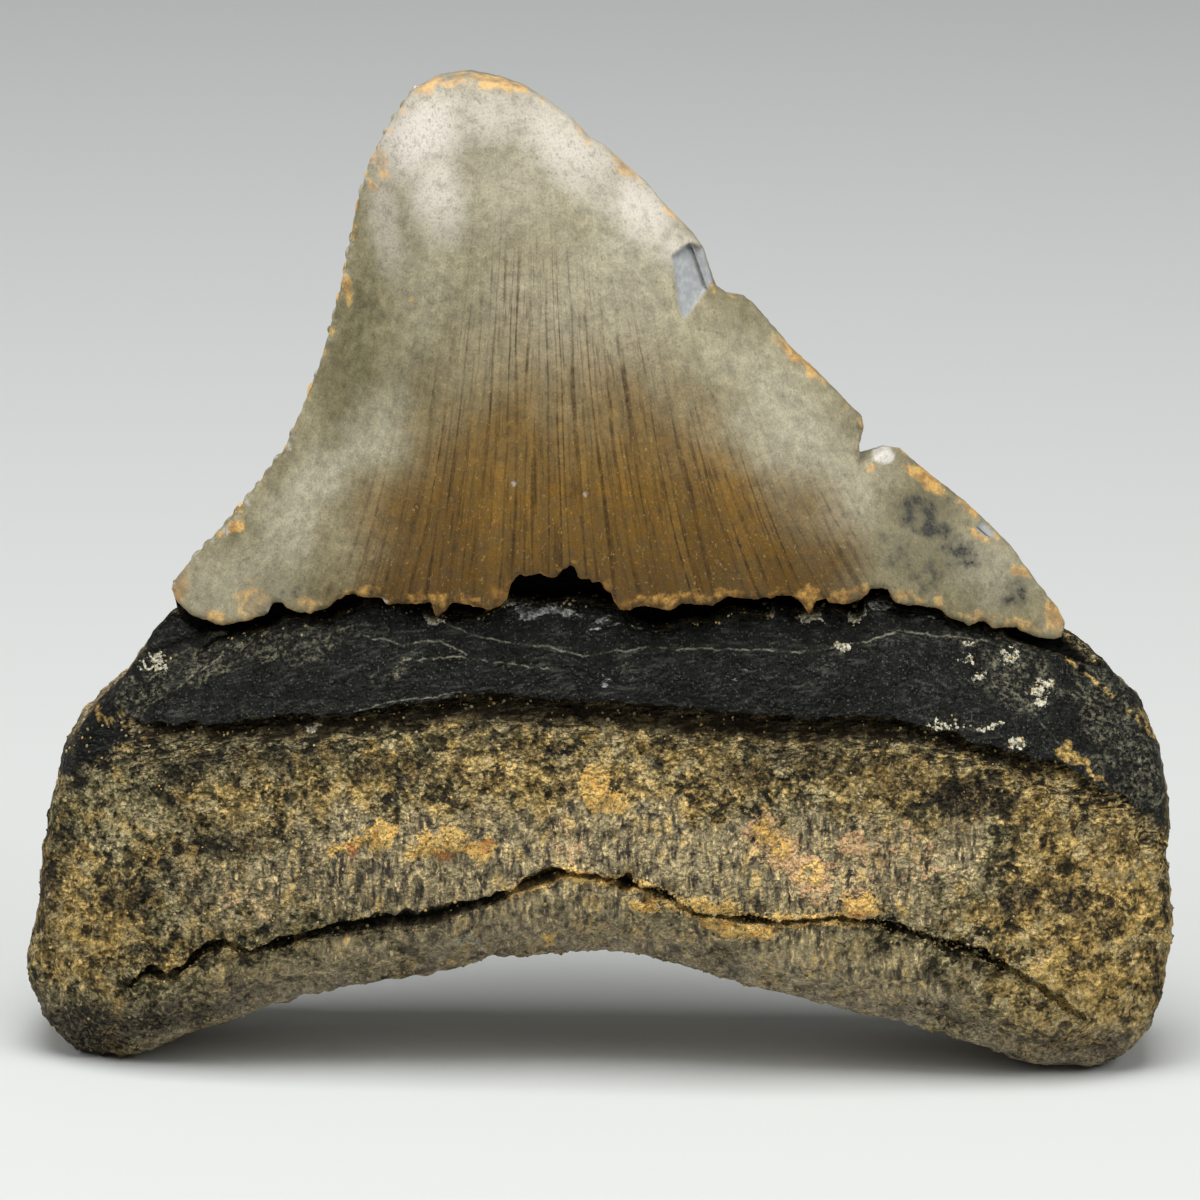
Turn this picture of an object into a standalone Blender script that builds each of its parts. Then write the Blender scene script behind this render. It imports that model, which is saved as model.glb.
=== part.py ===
"""Fossil megalodon tooth: one solid that stands on the tips of its two root lobes.

The script works in millimetres and writes the mesh in metres. X runs along the root, Z runs up
to the crown, and the swollen inner face looks towards minus Y. Each face of the tooth is an
outline in X and Z, filled with triangles and given its depth in Y by formulas. A rounded rim
joins the two faces.
"""
from math import ceil, hypot

import bmesh
import bpy
import numpy as np
from mathutils import Vector, noise
from mathutils.geometry import area_tri, delaunay_2d_cdt

MM = 0.001

# Depths, in millimetres from the plane that stands over the middle of the feet.
ROOT_LIP = 5.0          # inner face at the basal edge
ROOT_SWELL = 4.3        # how far the root swells out beyond that
SWELL_PLACE = 0.25      # share of the root's height where the swelling is fullest
ROOT_BACK = 4.8         # outer face of the root
BASAL_TUCK = 1.3        # how much the outer face is drawn in at the basal edge
ROOT_END_PLANE = -0.5   # plane of the root's rounded ends
END_THINNING = 0.14     # share by which the root's faces draw in towards its ends
CROWN_BELLY = 6.7       # inner face of the crown at the neck
CROWN_BACK = 4.2        # outer face of the crown at the neck
CUTTING_PLANE = 1.0     # plane of the cutting edges
TIP_BACK = 0.7          # outer face of the tip, beyond that plane
LEDGE_BACK = 0.25       # step from the enamel to the root on the outer face

# The rim where the two faces meet: how wide the turn is, and its half thickness.
CUTTING_TURN = 0.16
CUTTING_HALF = 0.28
TIP_TURN = 0.55
TIP_HALF = 0.8
ROOT_TURN = 1.5
ROOT_HALF = 0.9
RIM_SHARES = (0.07, 0.24, 0.5, 0.76, 0.93)

# Surface details, in millimetres.
SERRATION_PITCH = 1.05
SERRATION_HEIGHT = 0.16
LEDGE_FRONT = 0.45      # enamel standing above the dark band
VOID_DEPTH = 1.2        # gap under the enamel's broken edge
BAND_CROWN = 0.25       # roundness of the dark band
BAND_STEP = 0.35        # overhang of the band above the strip
STRIP_DEPTH = 0.3
STRIP_WIDTH = 1.0
CRACK_DEPTH = 0.6
CRACK_WIDTH = 0.35
LUMP_HEIGHT = 0.26
LUMP_SIZE = 3.4
LINE_GAP = 0.25         # distance between the two lines that bound a step

# Mesh fineness, in millimetres.
FRONT_STEP = 1.25
BACK_STEP = 1.9
EDGE_STEP = 1.3
SMALLEST_AREA = 1e-4
FOOT_LEVEL = 0.12

# Outlines and lines on the face, each point as (x, z) in millimetres.
CROWN_LEFT = [
    (-22.7, 22.9), (-22.6, 24.2), (-21.6, 25.8), (-19.8, 27.8), (-18.0, 30.1), (-16.8, 31.8),
    (-15.7, 34.4), (-14.9, 36.6), (-14.1, 39.6), (-13.6, 42.0), (-13.1, 44.8), (-12.5, 47.0),
    (-11.5, 49.0), (-10.3, 50.9),
]
CROWN_RIGHT = [
    (-8.9, 51.7), (-7.2, 51.9), (-5.6, 51.6), (-4.4, 51.2), (-3.1, 50.4), (-1.9, 49.5),
    (-1.0, 48.5), (-0.2, 48.1), (0.7, 47.3), (2.0, 46.2), (3.2, 44.8), (4.5, 43.5), (5.0, 42.7),
    (5.4, 41.5), (5.7, 40.7), (6.2, 40.4), (7.1, 40.3), (7.6, 39.9), (8.3, 39.1), (9.7, 37.5),
    (10.8, 36.5), (11.9, 35.4), (13.4, 33.9), (13.5, 33.4), (13.3, 32.7), (13.3, 31.8),
    (13.8, 32.0), (14.5, 32.3), (15.4, 32.2), (16.7, 31.1), (18.9, 29.4), (20.4, 28.0),
    (21.4, 27.0), (22.5, 25.5), (23.9, 23.7), (24.3, 22.9),
]
ROOT_RIGHT = [
    (25.3, 22.1), (26.3, 21.1), (27.4, 20.1), (28.3, 19.2), (29.1, 17.5), (29.6, 16.1),
    (29.9, 14.3), (30.0, 12.4), (29.8, 10.9), (30.1, 9.7), (30.3, 8.0), (30.2, 6.3), (30.0, 4.7),
    (29.6, 3.0), (29.1, 1.9), (28.2, 0.8), (27.0, 0.0),
]
ARCH = [
    (22.8, 0.0), (21.8, 0.6), (20.2, 1.2), (18.4, 1.8), (16.3, 2.4), (14.4, 2.9), (12.8, 3.3),
    (10.6, 3.8), (8.8, 4.2), (7.1, 4.8), (5.7, 5.2), (3.3, 5.9), (1.9, 6.2), (0.5, 6.4),
    (-0.9, 6.4), (-2.3, 6.2), (-3.8, 6.0), (-5.1, 6.1), (-5.8, 5.9), (-7.3, 5.3), (-9.3, 4.9),
    (-11.4, 4.4), (-13.5, 4.1), (-15.5, 3.5), (-17.3, 3.0), (-19.0, 2.3), (-20.7, 1.6),
    (-22.4, 0.8), (-23.8, 0.0),
]
ROOT_LEFT = [
    (-27.6, 0.0), (-28.5, 0.7), (-29.2, 1.7), (-29.9, 3.2), (-30.3, 4.5), (-30.0, 5.8),
    (-29.7, 7.7), (-29.4, 9.6), (-29.3, 11.2), (-29.1, 12.8), (-28.6, 14.2), (-28.4, 15.4),
    (-28.1, 16.5), (-27.4, 17.6), (-26.7, 18.4), (-25.5, 19.4), (-24.5, 20.7), (-23.6, 22.0),
]
ENAMEL_EDGE = [
    (-22.5, 23.3), (-21.6, 22.7), (-20.4, 22.3), (-19.5, 22.5), (-17.9, 23.2), (-17.4, 23.9),
    (-16.7, 24.0), (-16.5, 23.7), (-15.2, 23.7), (-13.7, 24.6), (-12.4, 24.9), (-11.1, 24.6),
    (-9.0, 24.8), (-8.8, 24.2), (-8.0, 24.7), (-5.7, 24.7), (-5.0, 25.3), (-4.8, 26.0),
    (-4.4, 26.6), (-3.5, 26.8), (-2.5, 26.6), (-1.8, 27.3), (-1.4, 26.7), (-0.3, 26.4),
    (0.4, 25.9), (1.1, 24.9), (2.0, 25.1), (3.3, 24.9), (5.1, 25.2), (8.0, 25.3), (9.7, 25.4),
    (10.8, 24.5), (11.5, 25.1), (13.5, 25.0), (13.9, 25.5), (14.8, 25.5), (15.1, 24.9),
    (16.4, 24.4), (18.1, 23.6), (20.5, 23.2), (22.0, 22.9), (23.7, 22.3),
]
BAND_TOP = [
    (-22.0, 22.2), (-19.1, 22.0), (-15.7, 23.2), (-11.5, 24.2), (-8.4, 23.8), (-4.7, 24.5),
    (-1.8, 24.3), (0.3, 24.0), (2.5, 23.6), (5.6, 24.2), (7.7, 24.4), (11.7, 24.1), (15.0, 24.3),
    (16.7, 23.8), (18.5, 23.0), (21.2, 22.5), (23.4, 21.9),
]
BAND_FOOT = [
    (-26.3, 17.9), (-23.3, 18.8), (-20.2, 18.9), (-15.6, 19.6), (-13.0, 19.6), (-10.3, 20.2),
    (-7.2, 20.9), (-5.1, 21.0), (-2.4, 20.7), (1.5, 20.5), (5.1, 20.4), (11.1, 19.7),
    (15.7, 19.8), (20.9, 18.1), (23.7, 17.4), (27.0, 15.4), (28.8, 14.2),
]
CRACK = [
    (-24.5, 5.1), (-22.5, 5.5), (-20.5, 7.2), (-18.2, 7.1), (-16.6, 7.8), (-13.6, 8.6),
    (-11.3, 9.1), (-8.9, 9.3), (-5.4, 10.5), (-3.2, 11.6), (-0.5, 11.9), (1.3, 11.4),
    (3.3, 10.9), (5.0, 9.9), (9.2, 9.4), (12.5, 9.7), (14.9, 9.2), (18.1, 8.1), (21.7, 6.5),
]
BACK_ENAMEL_EDGE = [
    (-22.4, 22.6), (-19.5, 20.6), (-15.0, 19.0), (-9.0, 18.9), (-3.5, 20.0), (0.5, 20.6),
    (5.0, 20.0), (11.0, 18.7), (17.0, 18.8), (21.0, 20.2), (24.2, 22.3),
]

# The unbroken sides as (z, x): root end, heel and the cutting edge before it was chipped.
SIDE_LEFT = [
    (-1.0, -29.9), (2.0, -30.2), (4.5, -30.3), (9.6, -29.5), (12.8, -29.1), (15.4, -28.5),
    (17.6, -27.4), (19.4, -25.6), (21.9, -23.6), (23.2, -22.8), (25.0, -22.2), (26.8, -20.6),
    (28.9, -18.9), (31.2, -17.2), (34.4, -15.7), (39.6, -14.1), (44.2, -13.2), (47.0, -12.5),
    (49.6, -11.2), (51.2, -9.8), (52.0, -7.2),
]
SIDE_RIGHT = [
    (-1.0, 29.7), (2.0, 30.1), (6.3, 30.3), (12.4, 30.1), (16.1, 29.6), (19.2, 28.3),
    (21.1, 26.4), (22.9, 24.4), (25.5, 22.6), (28.0, 20.5), (31.7, 16.2), (35.5, 12.1),
    (40.0, 7.6), (42.7, 5.2), (44.8, 3.3), (48.3, 0.1), (50.4, -3.0), (51.5, -5.4), (52.0, -7.2),
]
NECK_LINE = [
    (-23.0, 23.0), (-20.0, 22.8), (-16.0, 23.8), (-11.0, 24.8), (-4.0, 25.1), (5.0, 25.2),
    (13.0, 25.1), (17.0, 24.3), (20.5, 23.3), (24.5, 22.4),
]
TIP_HEIGHT = 52.0
HALF_WIDTH = 30.3

# Local forms as (x, z, radius, depth): a hollow is positive and a lump is negative.
SPOTS = [
    (13.4, 10.2, 1.3, -0.45),   # nodule beside the crack
    (6.0, 10.6, 1.4, -0.18),    # sediment smeared over the crack
    (1.6, 11.4, 0.7, 0.5),      # open stretch of the crack
    (3.6, 10.9, 0.6, 0.5),      # second open stretch
    (25.2, 20.9, 0.7, 0.6),     # hole in the right shoulder
    (20.0, 15.9, 1.6, 0.25),    # worn hollow below the band
    (17.6, 19.0, 1.2, -0.25),   # scab of matrix on the band's foot
    (-24.0, 4.6, 1.8, 0.25),    # hollow in the left lobe
]
CHIP_CENTRE = (4.3, 41.6)
CHIP_RADIUS = 1.5
CHIP_DEPTH = 0.45

TOOTH_COLOUR = (0.24, 0.20, 0.13, 1.0)
TOOTH_ROUGHNESS = 0.5


def rise(low, high, value):
    """Smooth rise from 0 at low to 1 at high."""
    share = np.clip((value - low) / (high - low), 0.0, 1.0)
    return share * share * (3.0 - 2.0 * share)


def mix(first, second, share):
    return first + (second - first) * share


def height_on(line, x):
    """Height of a line that runs from left to right."""
    return np.interp(x, [point[0] for point in line], [point[1] for point in line])


def softened(line, place, reach):
    """Height of a line, averaged over a neighbourhood of the place."""
    offsets = np.linspace(-reach, reach, 7)
    return sum(height_on(line, place + offset) for offset in offsets) / len(offsets)


def resampled(points, step):
    """The same line with no stretch longer than the step."""
    line = [points[0]]
    for start, end in zip(points, points[1:]):
        parts = ceil(hypot(end[0] - start[0], end[1] - start[1]) / step)
        for part in range(1, parts + 1):
            line.append((mix(start[0], end[0], part / parts), mix(start[1], end[1], part / parts)))
    return line


def serrated(points):
    """A cutting edge with its worn serrations, as low round beads."""
    fine = resampled(points, SERRATION_PITCH / 3.0)
    beads = [fine[0]]
    travelled = 0.0
    for start, end in zip(fine, fine[1:]):
        length = hypot(end[0] - start[0], end[1] - start[1])
        travelled += length
        lift = SERRATION_HEIGHT * abs(np.sin(np.pi * travelled / SERRATION_PITCH))
        beads.append((end[0] + (start[1] - end[1]) / length * lift,
                      end[1] + (end[0] - start[0]) / length * lift))
    return beads


def inside(loop, x, z):
    """True for the points that lie inside the closed loop."""
    crossed = np.zeros(np.shape(x), dtype=bool)
    for (x0, z0), (x1, z1) in zip(loop, loop[1:] + loop[:1]):
        if z0 != z1:
            crossed ^= ((z0 > z) != (z1 > z)) & (x < x0 + (z - z0) * (x1 - x0) / (z1 - z0))
    return crossed


def distance_to(line, x, z):
    """Shortest distance from each point to an open line."""
    best = np.full(np.shape(x), 1e9)
    for (x0, z0), (x1, z1) in zip(line, line[1:]):
        run, climb = x1 - x0, z1 - z0
        share = np.clip(((x - x0) * run + (z - z0) * climb) / (run * run + climb * climb), 0, 1)
        best = np.minimum(best, np.hypot(x - x0 - share * run, z - z0 - share * climb))
    return best


def tooth_loop():
    """The whole outline of the tooth, from the left heel over the tip and round the root."""
    crown = serrated(CROWN_LEFT) + CROWN_RIGHT
    root = ROOT_RIGHT + ARCH + ROOT_LEFT
    return crown + resampled(root + CROWN_LEFT[:1], EDGE_STEP)[:-1]


def place_on_face(x, z):
    """Share across the tooth from its middle, share up the root and share up the crown."""
    left = softened(SIDE_LEFT, z, 1.0)
    right = softened(SIDE_RIGHT, z, 1.0)
    half_width = np.maximum(0.5 * (right - left), 0.5)
    across = np.minimum(np.abs(x - 0.5 * (left + right)) / half_width, 1.0)
    arch = softened(ARCH[::-1], x, 1.0)
    neck = softened(NECK_LINE, x, 1.5)
    up_root = np.clip((z - arch) / (neck - arch), 0.0, 1.0)
    up_crown = np.clip((z - neck) / (TIP_HEIGHT - neck), 0.0, 1.0)
    return across, up_root, up_crown


def root_section(across, up_root):
    """Share of the root's full depth, and the plane and half thickness of its rim."""
    bar = (1.0 - across ** 8) ** 0.5 * (1.0 - END_THINNING * across ** 2)
    lens = 1.0 - across ** 1.8
    below_neck = rise(0.0, 0.35, 1.0 - up_root)
    plane = mix(CUTTING_PLANE, ROOT_END_PLANE, below_neck)
    half = mix(CUTTING_HALF, ROOT_HALF, below_neck)
    return mix(lens, bar, below_neck), plane, half


def root_front(across, up_root):
    share, plane, half = root_section(across, up_root)
    climb = up_root / SWELL_PLACE
    swell = ROOT_LIP + ROOT_SWELL * climb * np.exp(1.0 - climb)
    edge = plane - half
    return edge - (swell + edge) * share


def root_back(across, up_root):
    share, plane, half = root_section(across, up_root)
    depth = ROOT_BACK - BASAL_TUCK * (1.0 - rise(0.0, 0.3, up_root))
    edge = plane + half
    return edge + (depth - edge) * share


def crown_half(up_crown):
    return mix(CUTTING_HALF, TIP_HALF, rise(0.8, 1.0, up_crown))


def crown_front(across, up_crown):
    edge = CUTTING_PLANE - crown_half(up_crown)
    belly = CROWN_BELLY * (1.0 - up_crown ** 1.5)
    return edge - (belly + edge) * (1.0 - across ** 1.8)


def crown_back(across, up_crown):
    edge = CUTTING_PLANE + crown_half(up_crown)
    depth = mix(CROWN_BACK, CUTTING_PLANE + TIP_BACK + TIP_HALF, up_crown)
    return edge + (depth - edge) * (1.0 - across ** 2.4)


def lumps(x, z, layer):
    """Low, smooth unevenness of the root's surface, with smaller lumps on the larger ones."""
    places = [Vector((a, b, layer)) for a, b in zip(x / LUMP_SIZE, z / LUMP_SIZE)]
    return LUMP_HEIGHT * np.array([noise.noise(at) + 0.5 * noise.noise(at * 2.3) for at in places])


def local_forms(x, z):
    """Sum of the single pits, lumps and the crack on the root's inner face."""
    depth = CRACK_DEPTH * np.clip(1.0 - distance_to(CRACK, x, z) / CRACK_WIDTH, 0.0, 1.0)
    for spot_x, spot_z, radius, spot_depth in SPOTS:
        away = np.hypot(x - spot_x, z - spot_z) / radius
        depth += spot_depth * np.exp(-2.0 * away * away)
    return depth


def band_limit(x):
    """Upper edge of the dark band, which stays clear of the enamel's lower edge."""
    return np.minimum(height_on(BAND_TOP, x), height_on(ENAMEL_EDGE, x) - 2.0 * LINE_GAP)


def band_relief(x, z):
    """Dark band with its overhanging foot, the strip below it and the gap above it."""
    foot = height_on(BAND_FOOT, x)
    top = band_limit(x)
    up_band = np.clip((z - foot) / (top - foot), 0.0, 1.0)
    band = -BAND_STEP * (1.0 - up_band) - BAND_CROWN * np.sin(np.pi * up_band)
    strip = STRIP_DEPTH * np.clip(1.0 - (foot - z) / STRIP_WIDTH, 0.0, 1.0)
    relief = np.where(z > foot - 0.5 * LINE_GAP, band, strip)
    return np.where(z > top + 0.5 * LINE_GAP, VOID_DEPTH, relief)


def front_depth(x, z):
    across, up_root, up_crown = place_on_face(x, z)
    enamel = crown_front(across, up_crown)
    away = np.hypot(x - CHIP_CENTRE[0], z - CHIP_CENTRE[1])
    enamel += CHIP_DEPTH * np.clip(1.0 - away / CHIP_RADIUS, 0.0, 1.0)
    free = rise(0.0, 0.25, 1.0 - across)
    ledge = LEDGE_FRONT * rise(0.7, 1.0, up_root)
    relief = ledge + band_relief(x, z) + local_forms(x, z) + lumps(x, z, 0.0)
    root = root_front(across, up_root) + relief * free
    on_enamel = (z > height_on(ENAMEL_EDGE, x) - 0.5 * LINE_GAP) & (up_root > 0.8)
    return np.where(on_enamel, enamel, root)


def back_depth(x, z):
    across, up_root, up_crown = place_on_face(x, z)
    root = root_back(across, up_root)
    enamel = np.where(up_crown > 0.0, crown_back(across, up_crown), root)
    free = rise(0.0, 0.25, 1.0 - across)
    root = root + (lumps(x, z, 7.0) - LEDGE_BACK) * free
    on_enamel = z > height_on(BACK_ENAMEL_EDGE, x) - 0.5 * LINE_GAP
    return np.where(on_enamel, enamel, root)


def turn_radius(x, z):
    """How far the faces' own border lies in from the outline."""
    _, up_root, up_crown = place_on_face(x, z)
    root_turn = mix(CUTTING_TURN, ROOT_TURN, rise(0.0, 0.2, 1.0 - up_root))
    crown_turn = mix(CUTTING_TURN, TIP_TURN, rise(0.85, 1.0, up_crown))
    return np.where(up_crown > 0.0, crown_turn, root_turn)


def set_in(loop, inset):
    """The loop moved inwards by its own inset at each point."""
    x = np.array([point[0] for point in loop])
    z = np.array([point[1] for point in loop])
    run = np.roll(x, -1) - np.roll(x, 1)
    climb = np.roll(z, -1) - np.roll(z, 1)
    length = np.hypot(run, climb)
    return list(zip(x + climb / length * inset, z - run / length * inset))


def thinned(candidates, kept, gap):
    """Candidates that keep their gap from the kept points and from each other."""
    chosen = list(kept)
    for candidate in candidates:
        away = np.hypot(*(np.array(chosen) - candidate).T)
        if away.min() > gap:
            chosen.append(candidate)
    return chosen[len(kept):]


def grid_points(loop, step):
    """Staggered grid of points inside the loop."""
    rows = np.arange(0.5 * step, TIP_HEIGHT, step * 0.866)
    columns = np.arange(-HALF_WIDTH, HALF_WIDTH, step)
    x, z = np.meshgrid(columns, rows)
    x = x + 0.5 * step * (np.arange(len(rows)) % 2)[:, None]
    x, z = x.ravel(), z.ravel()
    kept = inside(loop, x, z)
    return list(zip(x[kept], z[kept]))


def filled_sheet(loop, lines, step):
    """Triangles that fill the loop and keep to the lines."""
    fixed = list(loop)
    edges = [(index, (index + 1) % len(loop)) for index in range(len(loop))]
    for line in lines:
        first = len(fixed)
        fixed.extend(line)
        edges.extend((index, index + 1) for index in range(first, len(fixed) - 1))
    ring = set_in(loop, np.full(len(loop), 0.7))
    ring = [point for point in ring if inside(loop, *point)]
    fixed.extend(thinned(ring, fixed, 0.5))
    fixed.extend(thinned(grid_points(loop, step), fixed, step * 0.6))
    points = [Vector(point) for point in fixed]
    verts, _, faces = delaunay_2d_cdt(points, edges, [], 0, 1e-5, False)[:3]
    kept = []
    for face in faces:
        corners = [verts[index] for index in face]
        middle = sum(corners, Vector((0.0, 0.0))) / 3.0
        if area_tri(*corners) > SMALLEST_AREA and inside(loop, middle.x, middle.y):
            kept.append(tuple(face))
    return np.array([tuple(vert) for vert in verts]), kept


def line_at(x, heights, loop, margin):
    """A line across the face at given heights, cut where it leaves the loop."""
    closed = loop + loop[:1]
    kept = inside(loop, x, heights) & (distance_to(closed, x, heights) > margin)
    return list(zip(x[kept], heights[kept]))


def front_lines(loop):
    """Lines on the inner face that its steps follow, each step as two close lines."""
    enamel = resampled(ENAMEL_EDGE, 1.0)
    x = np.array([point[0] for point in enamel])
    edge = np.array([point[1] for point in enamel])
    limit = band_limit(x)
    open_gap = np.where(edge - limit > 4.0 * LINE_GAP, limit + LINE_GAP, edge - LINE_GAP)
    foot = resampled(BAND_FOOT, 1.6)
    foot_x = np.array([point[0] for point in foot])
    foot_z = np.array([point[1] for point in foot])
    crack = resampled(CRACK, 1.3)
    crack_x = np.array([point[0] for point in crack])
    crack_z = np.array([point[1] for point in crack])
    return [
        line_at(x, edge, loop, 0.1),
        line_at(x, edge - LINE_GAP, loop, 0.3),
        line_at(x, open_gap, loop, 0.3),
        line_at(x, limit, loop, 0.3),
        line_at(foot_x, foot_z, loop, 0.4),
        line_at(foot_x, foot_z - LINE_GAP, loop, 0.4),
        crack,
        line_at(crack_x, crack_z + CRACK_WIDTH, loop, 0.3),
        line_at(crack_x, crack_z - CRACK_WIDTH, loop, 0.3),
    ]


def back_lines(loop):
    edge = resampled(BACK_ENAMEL_EDGE, 1.6)
    x = np.array([point[0] for point in edge])
    z = np.array([point[1] for point in edge])
    return [line_at(x, z, loop, 0.3), line_at(x, z - LINE_GAP, loop, 0.3)]


def worn_flat(z):
    """Heights at the tips of the lobes, worn to the level they stand on."""
    return np.where(z < FOOT_LEVEL, 0.0, z)


def add_face(shape, points, faces, depth):
    """One face of the tooth in the mesh, with its depth."""
    x, z = points[:, 0], points[:, 1]
    places = np.column_stack([x, depth(x, z), worn_flat(z)]) * MM
    verts = [shape.verts.new(place) for place in places]
    for face in faces:
        shape.faces.new([verts[index] for index in face])
    return verts


def rim_rows(shape, outline, front, back):
    """Rows of vertices that turn from one face's border to the other's."""
    rows = [front]
    outer = np.array(outline)
    for share in RIM_SHARES:
        swell = (1.0 - abs(2.0 * share - 1.0) ** 4) ** 0.5
        row = []
        for place, first, last in zip(outer, front, back):
            depth = mix(first.co.y, last.co.y, share)
            x = mix(first.co.x, place[0] * MM, swell)
            z = mix(first.co.z, place[1] * MM, swell)
            row.append(shape.verts.new((x, depth, worn_flat(z / MM) * MM)))
        rows.append(row)
    return rows + [back]


def centre_over_origin(shape):
    """Move the tooth sideways so that the middle of its box is over the origin."""
    places = np.array([vert.co for vert in shape.verts])
    middle = 0.5 * (places.min(axis=0) + places.max(axis=0))
    bmesh.ops.translate(shape, verts=shape.verts, vec=(-middle[0], -middle[1], 0.0))


def build_tooth():
    outline = tooth_loop()
    border = set_in(outline, turn_radius(*np.array(outline).T))
    front_points, front_faces = filled_sheet(border, front_lines(border), FRONT_STEP)
    back_points, back_faces = filled_sheet(border, back_lines(border), BACK_STEP)
    shape = bmesh.new()
    front = add_face(shape, front_points, front_faces, front_depth)
    back = add_face(shape, back_points, back_faces, back_depth)
    count = len(border)
    rows = rim_rows(shape, outline, front[:count], back[:count])
    for row, lower in zip(rows, rows[1:]):
        for index in range(count):
            after = (index + 1) % count
            shape.faces.new((row[index], row[after], lower[after], lower[index]))
    loose = [vert for vert in shape.verts if not vert.link_faces]
    bmesh.ops.delete(shape, geom=loose, context="VERTS")
    bmesh.ops.triangulate(shape, faces=shape.faces)
    bmesh.ops.recalc_face_normals(shape, faces=shape.faces)
    centre_over_origin(shape)
    mesh = bpy.data.meshes.new("tooth")
    shape.to_mesh(mesh)
    shape.free()
    return mesh


def tooth_material():
    material = bpy.data.materials.new("fossil_tooth")
    material.use_nodes = True
    surface = material.node_tree.nodes["Principled BSDF"]
    surface.inputs["Base Color"].default_value = TOOTH_COLOUR
    surface.inputs["Roughness"].default_value = TOOTH_ROUGHNESS
    surface.inputs["Metallic"].default_value = 0.0
    return material


def main():
    for item in list(bpy.data.objects):
        bpy.data.objects.remove(item, do_unlink=True)
    mesh = build_tooth()
    mesh.materials.append(tooth_material())
    tooth = bpy.data.objects.new("tooth", mesh)
    bpy.context.scene.collection.objects.link(tooth)


main()
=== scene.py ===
"""Fossil megalodon tooth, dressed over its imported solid.

The shapes are worked out in millimetres, by the same rules as the solid: a face of the tooth is an
outline in X and Z, filled with fine triangles and given its depth in Y by formulas. The enamel
crown is a shell with a broken lip that stands over a gap. The root carries the dark band, the
crack and the fossil surface. Serration beads and grains of sediment are scattered by Geometry
Nodes.
"""
from math import cos, pi, radians, sin

import bpy
import numpy as np
from bpy.props import FloatProperty, FloatVectorProperty, PointerProperty
from mathutils import Matrix, Vector, kdtree, noise
from mathutils.geometry import delaunay_2d_cdt


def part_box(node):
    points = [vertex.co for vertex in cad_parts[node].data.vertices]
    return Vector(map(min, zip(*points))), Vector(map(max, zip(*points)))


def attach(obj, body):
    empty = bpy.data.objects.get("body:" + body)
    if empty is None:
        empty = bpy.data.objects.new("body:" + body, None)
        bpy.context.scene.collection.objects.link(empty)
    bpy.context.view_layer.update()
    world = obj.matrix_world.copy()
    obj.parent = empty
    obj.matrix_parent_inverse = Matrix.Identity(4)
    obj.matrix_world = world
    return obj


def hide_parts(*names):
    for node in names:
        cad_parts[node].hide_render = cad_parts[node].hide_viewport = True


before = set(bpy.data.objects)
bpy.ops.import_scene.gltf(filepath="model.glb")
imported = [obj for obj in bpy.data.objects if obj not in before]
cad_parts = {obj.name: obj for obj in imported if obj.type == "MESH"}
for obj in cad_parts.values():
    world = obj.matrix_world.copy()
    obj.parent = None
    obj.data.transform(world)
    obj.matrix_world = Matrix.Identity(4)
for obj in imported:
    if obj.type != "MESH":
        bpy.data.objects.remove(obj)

bl_info = {
    "name": "Fossil Megalodon Tooth",
    "version": (1, 0, 0),
    "blender": (4, 5, 0),
    "location": "3D View > Sidebar > Fossil Tooth",
    "description": "Builds the enamel crown, the root and the stage of a fossil tooth",
    "category": "Add Mesh",
}

MM = 0.001
BODY = "root"
NODE = "tooth"

# Depths, in millimetres from the plane that stands over the middle of the feet.
ROOT_LIP = 5.0
ROOT_SWELL = 4.3
SWELL_PLACE = 0.25
ROOT_BACK = 4.8
BASAL_TUCK = 1.3
ROOT_END_PLANE = -0.5
END_THINNING = 0.14
CROWN_BELLY = 6.7
CROWN_BACK = 4.2
CUTTING_PLANE = 1.0
TIP_BACK = 0.7
LEDGE_BACK = 0.25
CUTTING_TURN = 0.16
CUTTING_HALF = 0.28
TIP_TURN = 0.55
TIP_HALF = 0.8
ROOT_TURN = 1.5
ROOT_HALF = 0.9
LEDGE_FRONT = 0.45
BAND_CROWN = 0.25
BAND_STEP = 0.35
STRIP_DEPTH = 0.55
FAN_MIDDLE = -4.0
FAN_RATE = 0.033
LUMP_HEIGHT = 0.26
LUMP_SIZE = 3.4
TIP_HEIGHT = 52.0
FOOT_LEVEL = 0.12
HAIR_HALF = 0.05
LIGHTER_RIGHT = (-4.0, 16.0)  # from where to where the root grows lighter
BOX_MARGIN = 0.004

# The camera at the photo's viewing angle (degrees and millimetres), and the lights (metres).
CAMERA_PITCH = 15.0
CAMERA_ROLL = 0.765
CAMERA_TARGET = (-0.178, 24.04)
VIEW_WIDTH = 1200 * 60.0 / 1144
SENSOR_WIDTH = 36.0
SOFTBOXES = (
    ("overhead_softbox", (-0.02, -0.12, 0.5), 0.32),
    ("left_softbox", (-0.38, -0.2, 0.34), 0.25),
    ("right_softbox", (0.38, -0.22, 0.34), 0.25),
)

# Shares of the way from the front border to the back border at which rows of points lie.
ROOT_TURNS = (0.03, 0.08, 0.15, 0.24, 0.35, 0.46, 0.56, 0.67, 0.78, 0.87, 0.93, 0.98)
CROWN_TURNS = (0.06, 0.18, 0.34, 0.5, 0.66, 0.82, 0.94)

LOWEST, HIGHEST = (np.array(corner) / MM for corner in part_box(NODE))
DEPTH_SHIFT = HIGHEST[1] - ROOT_BACK

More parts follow.
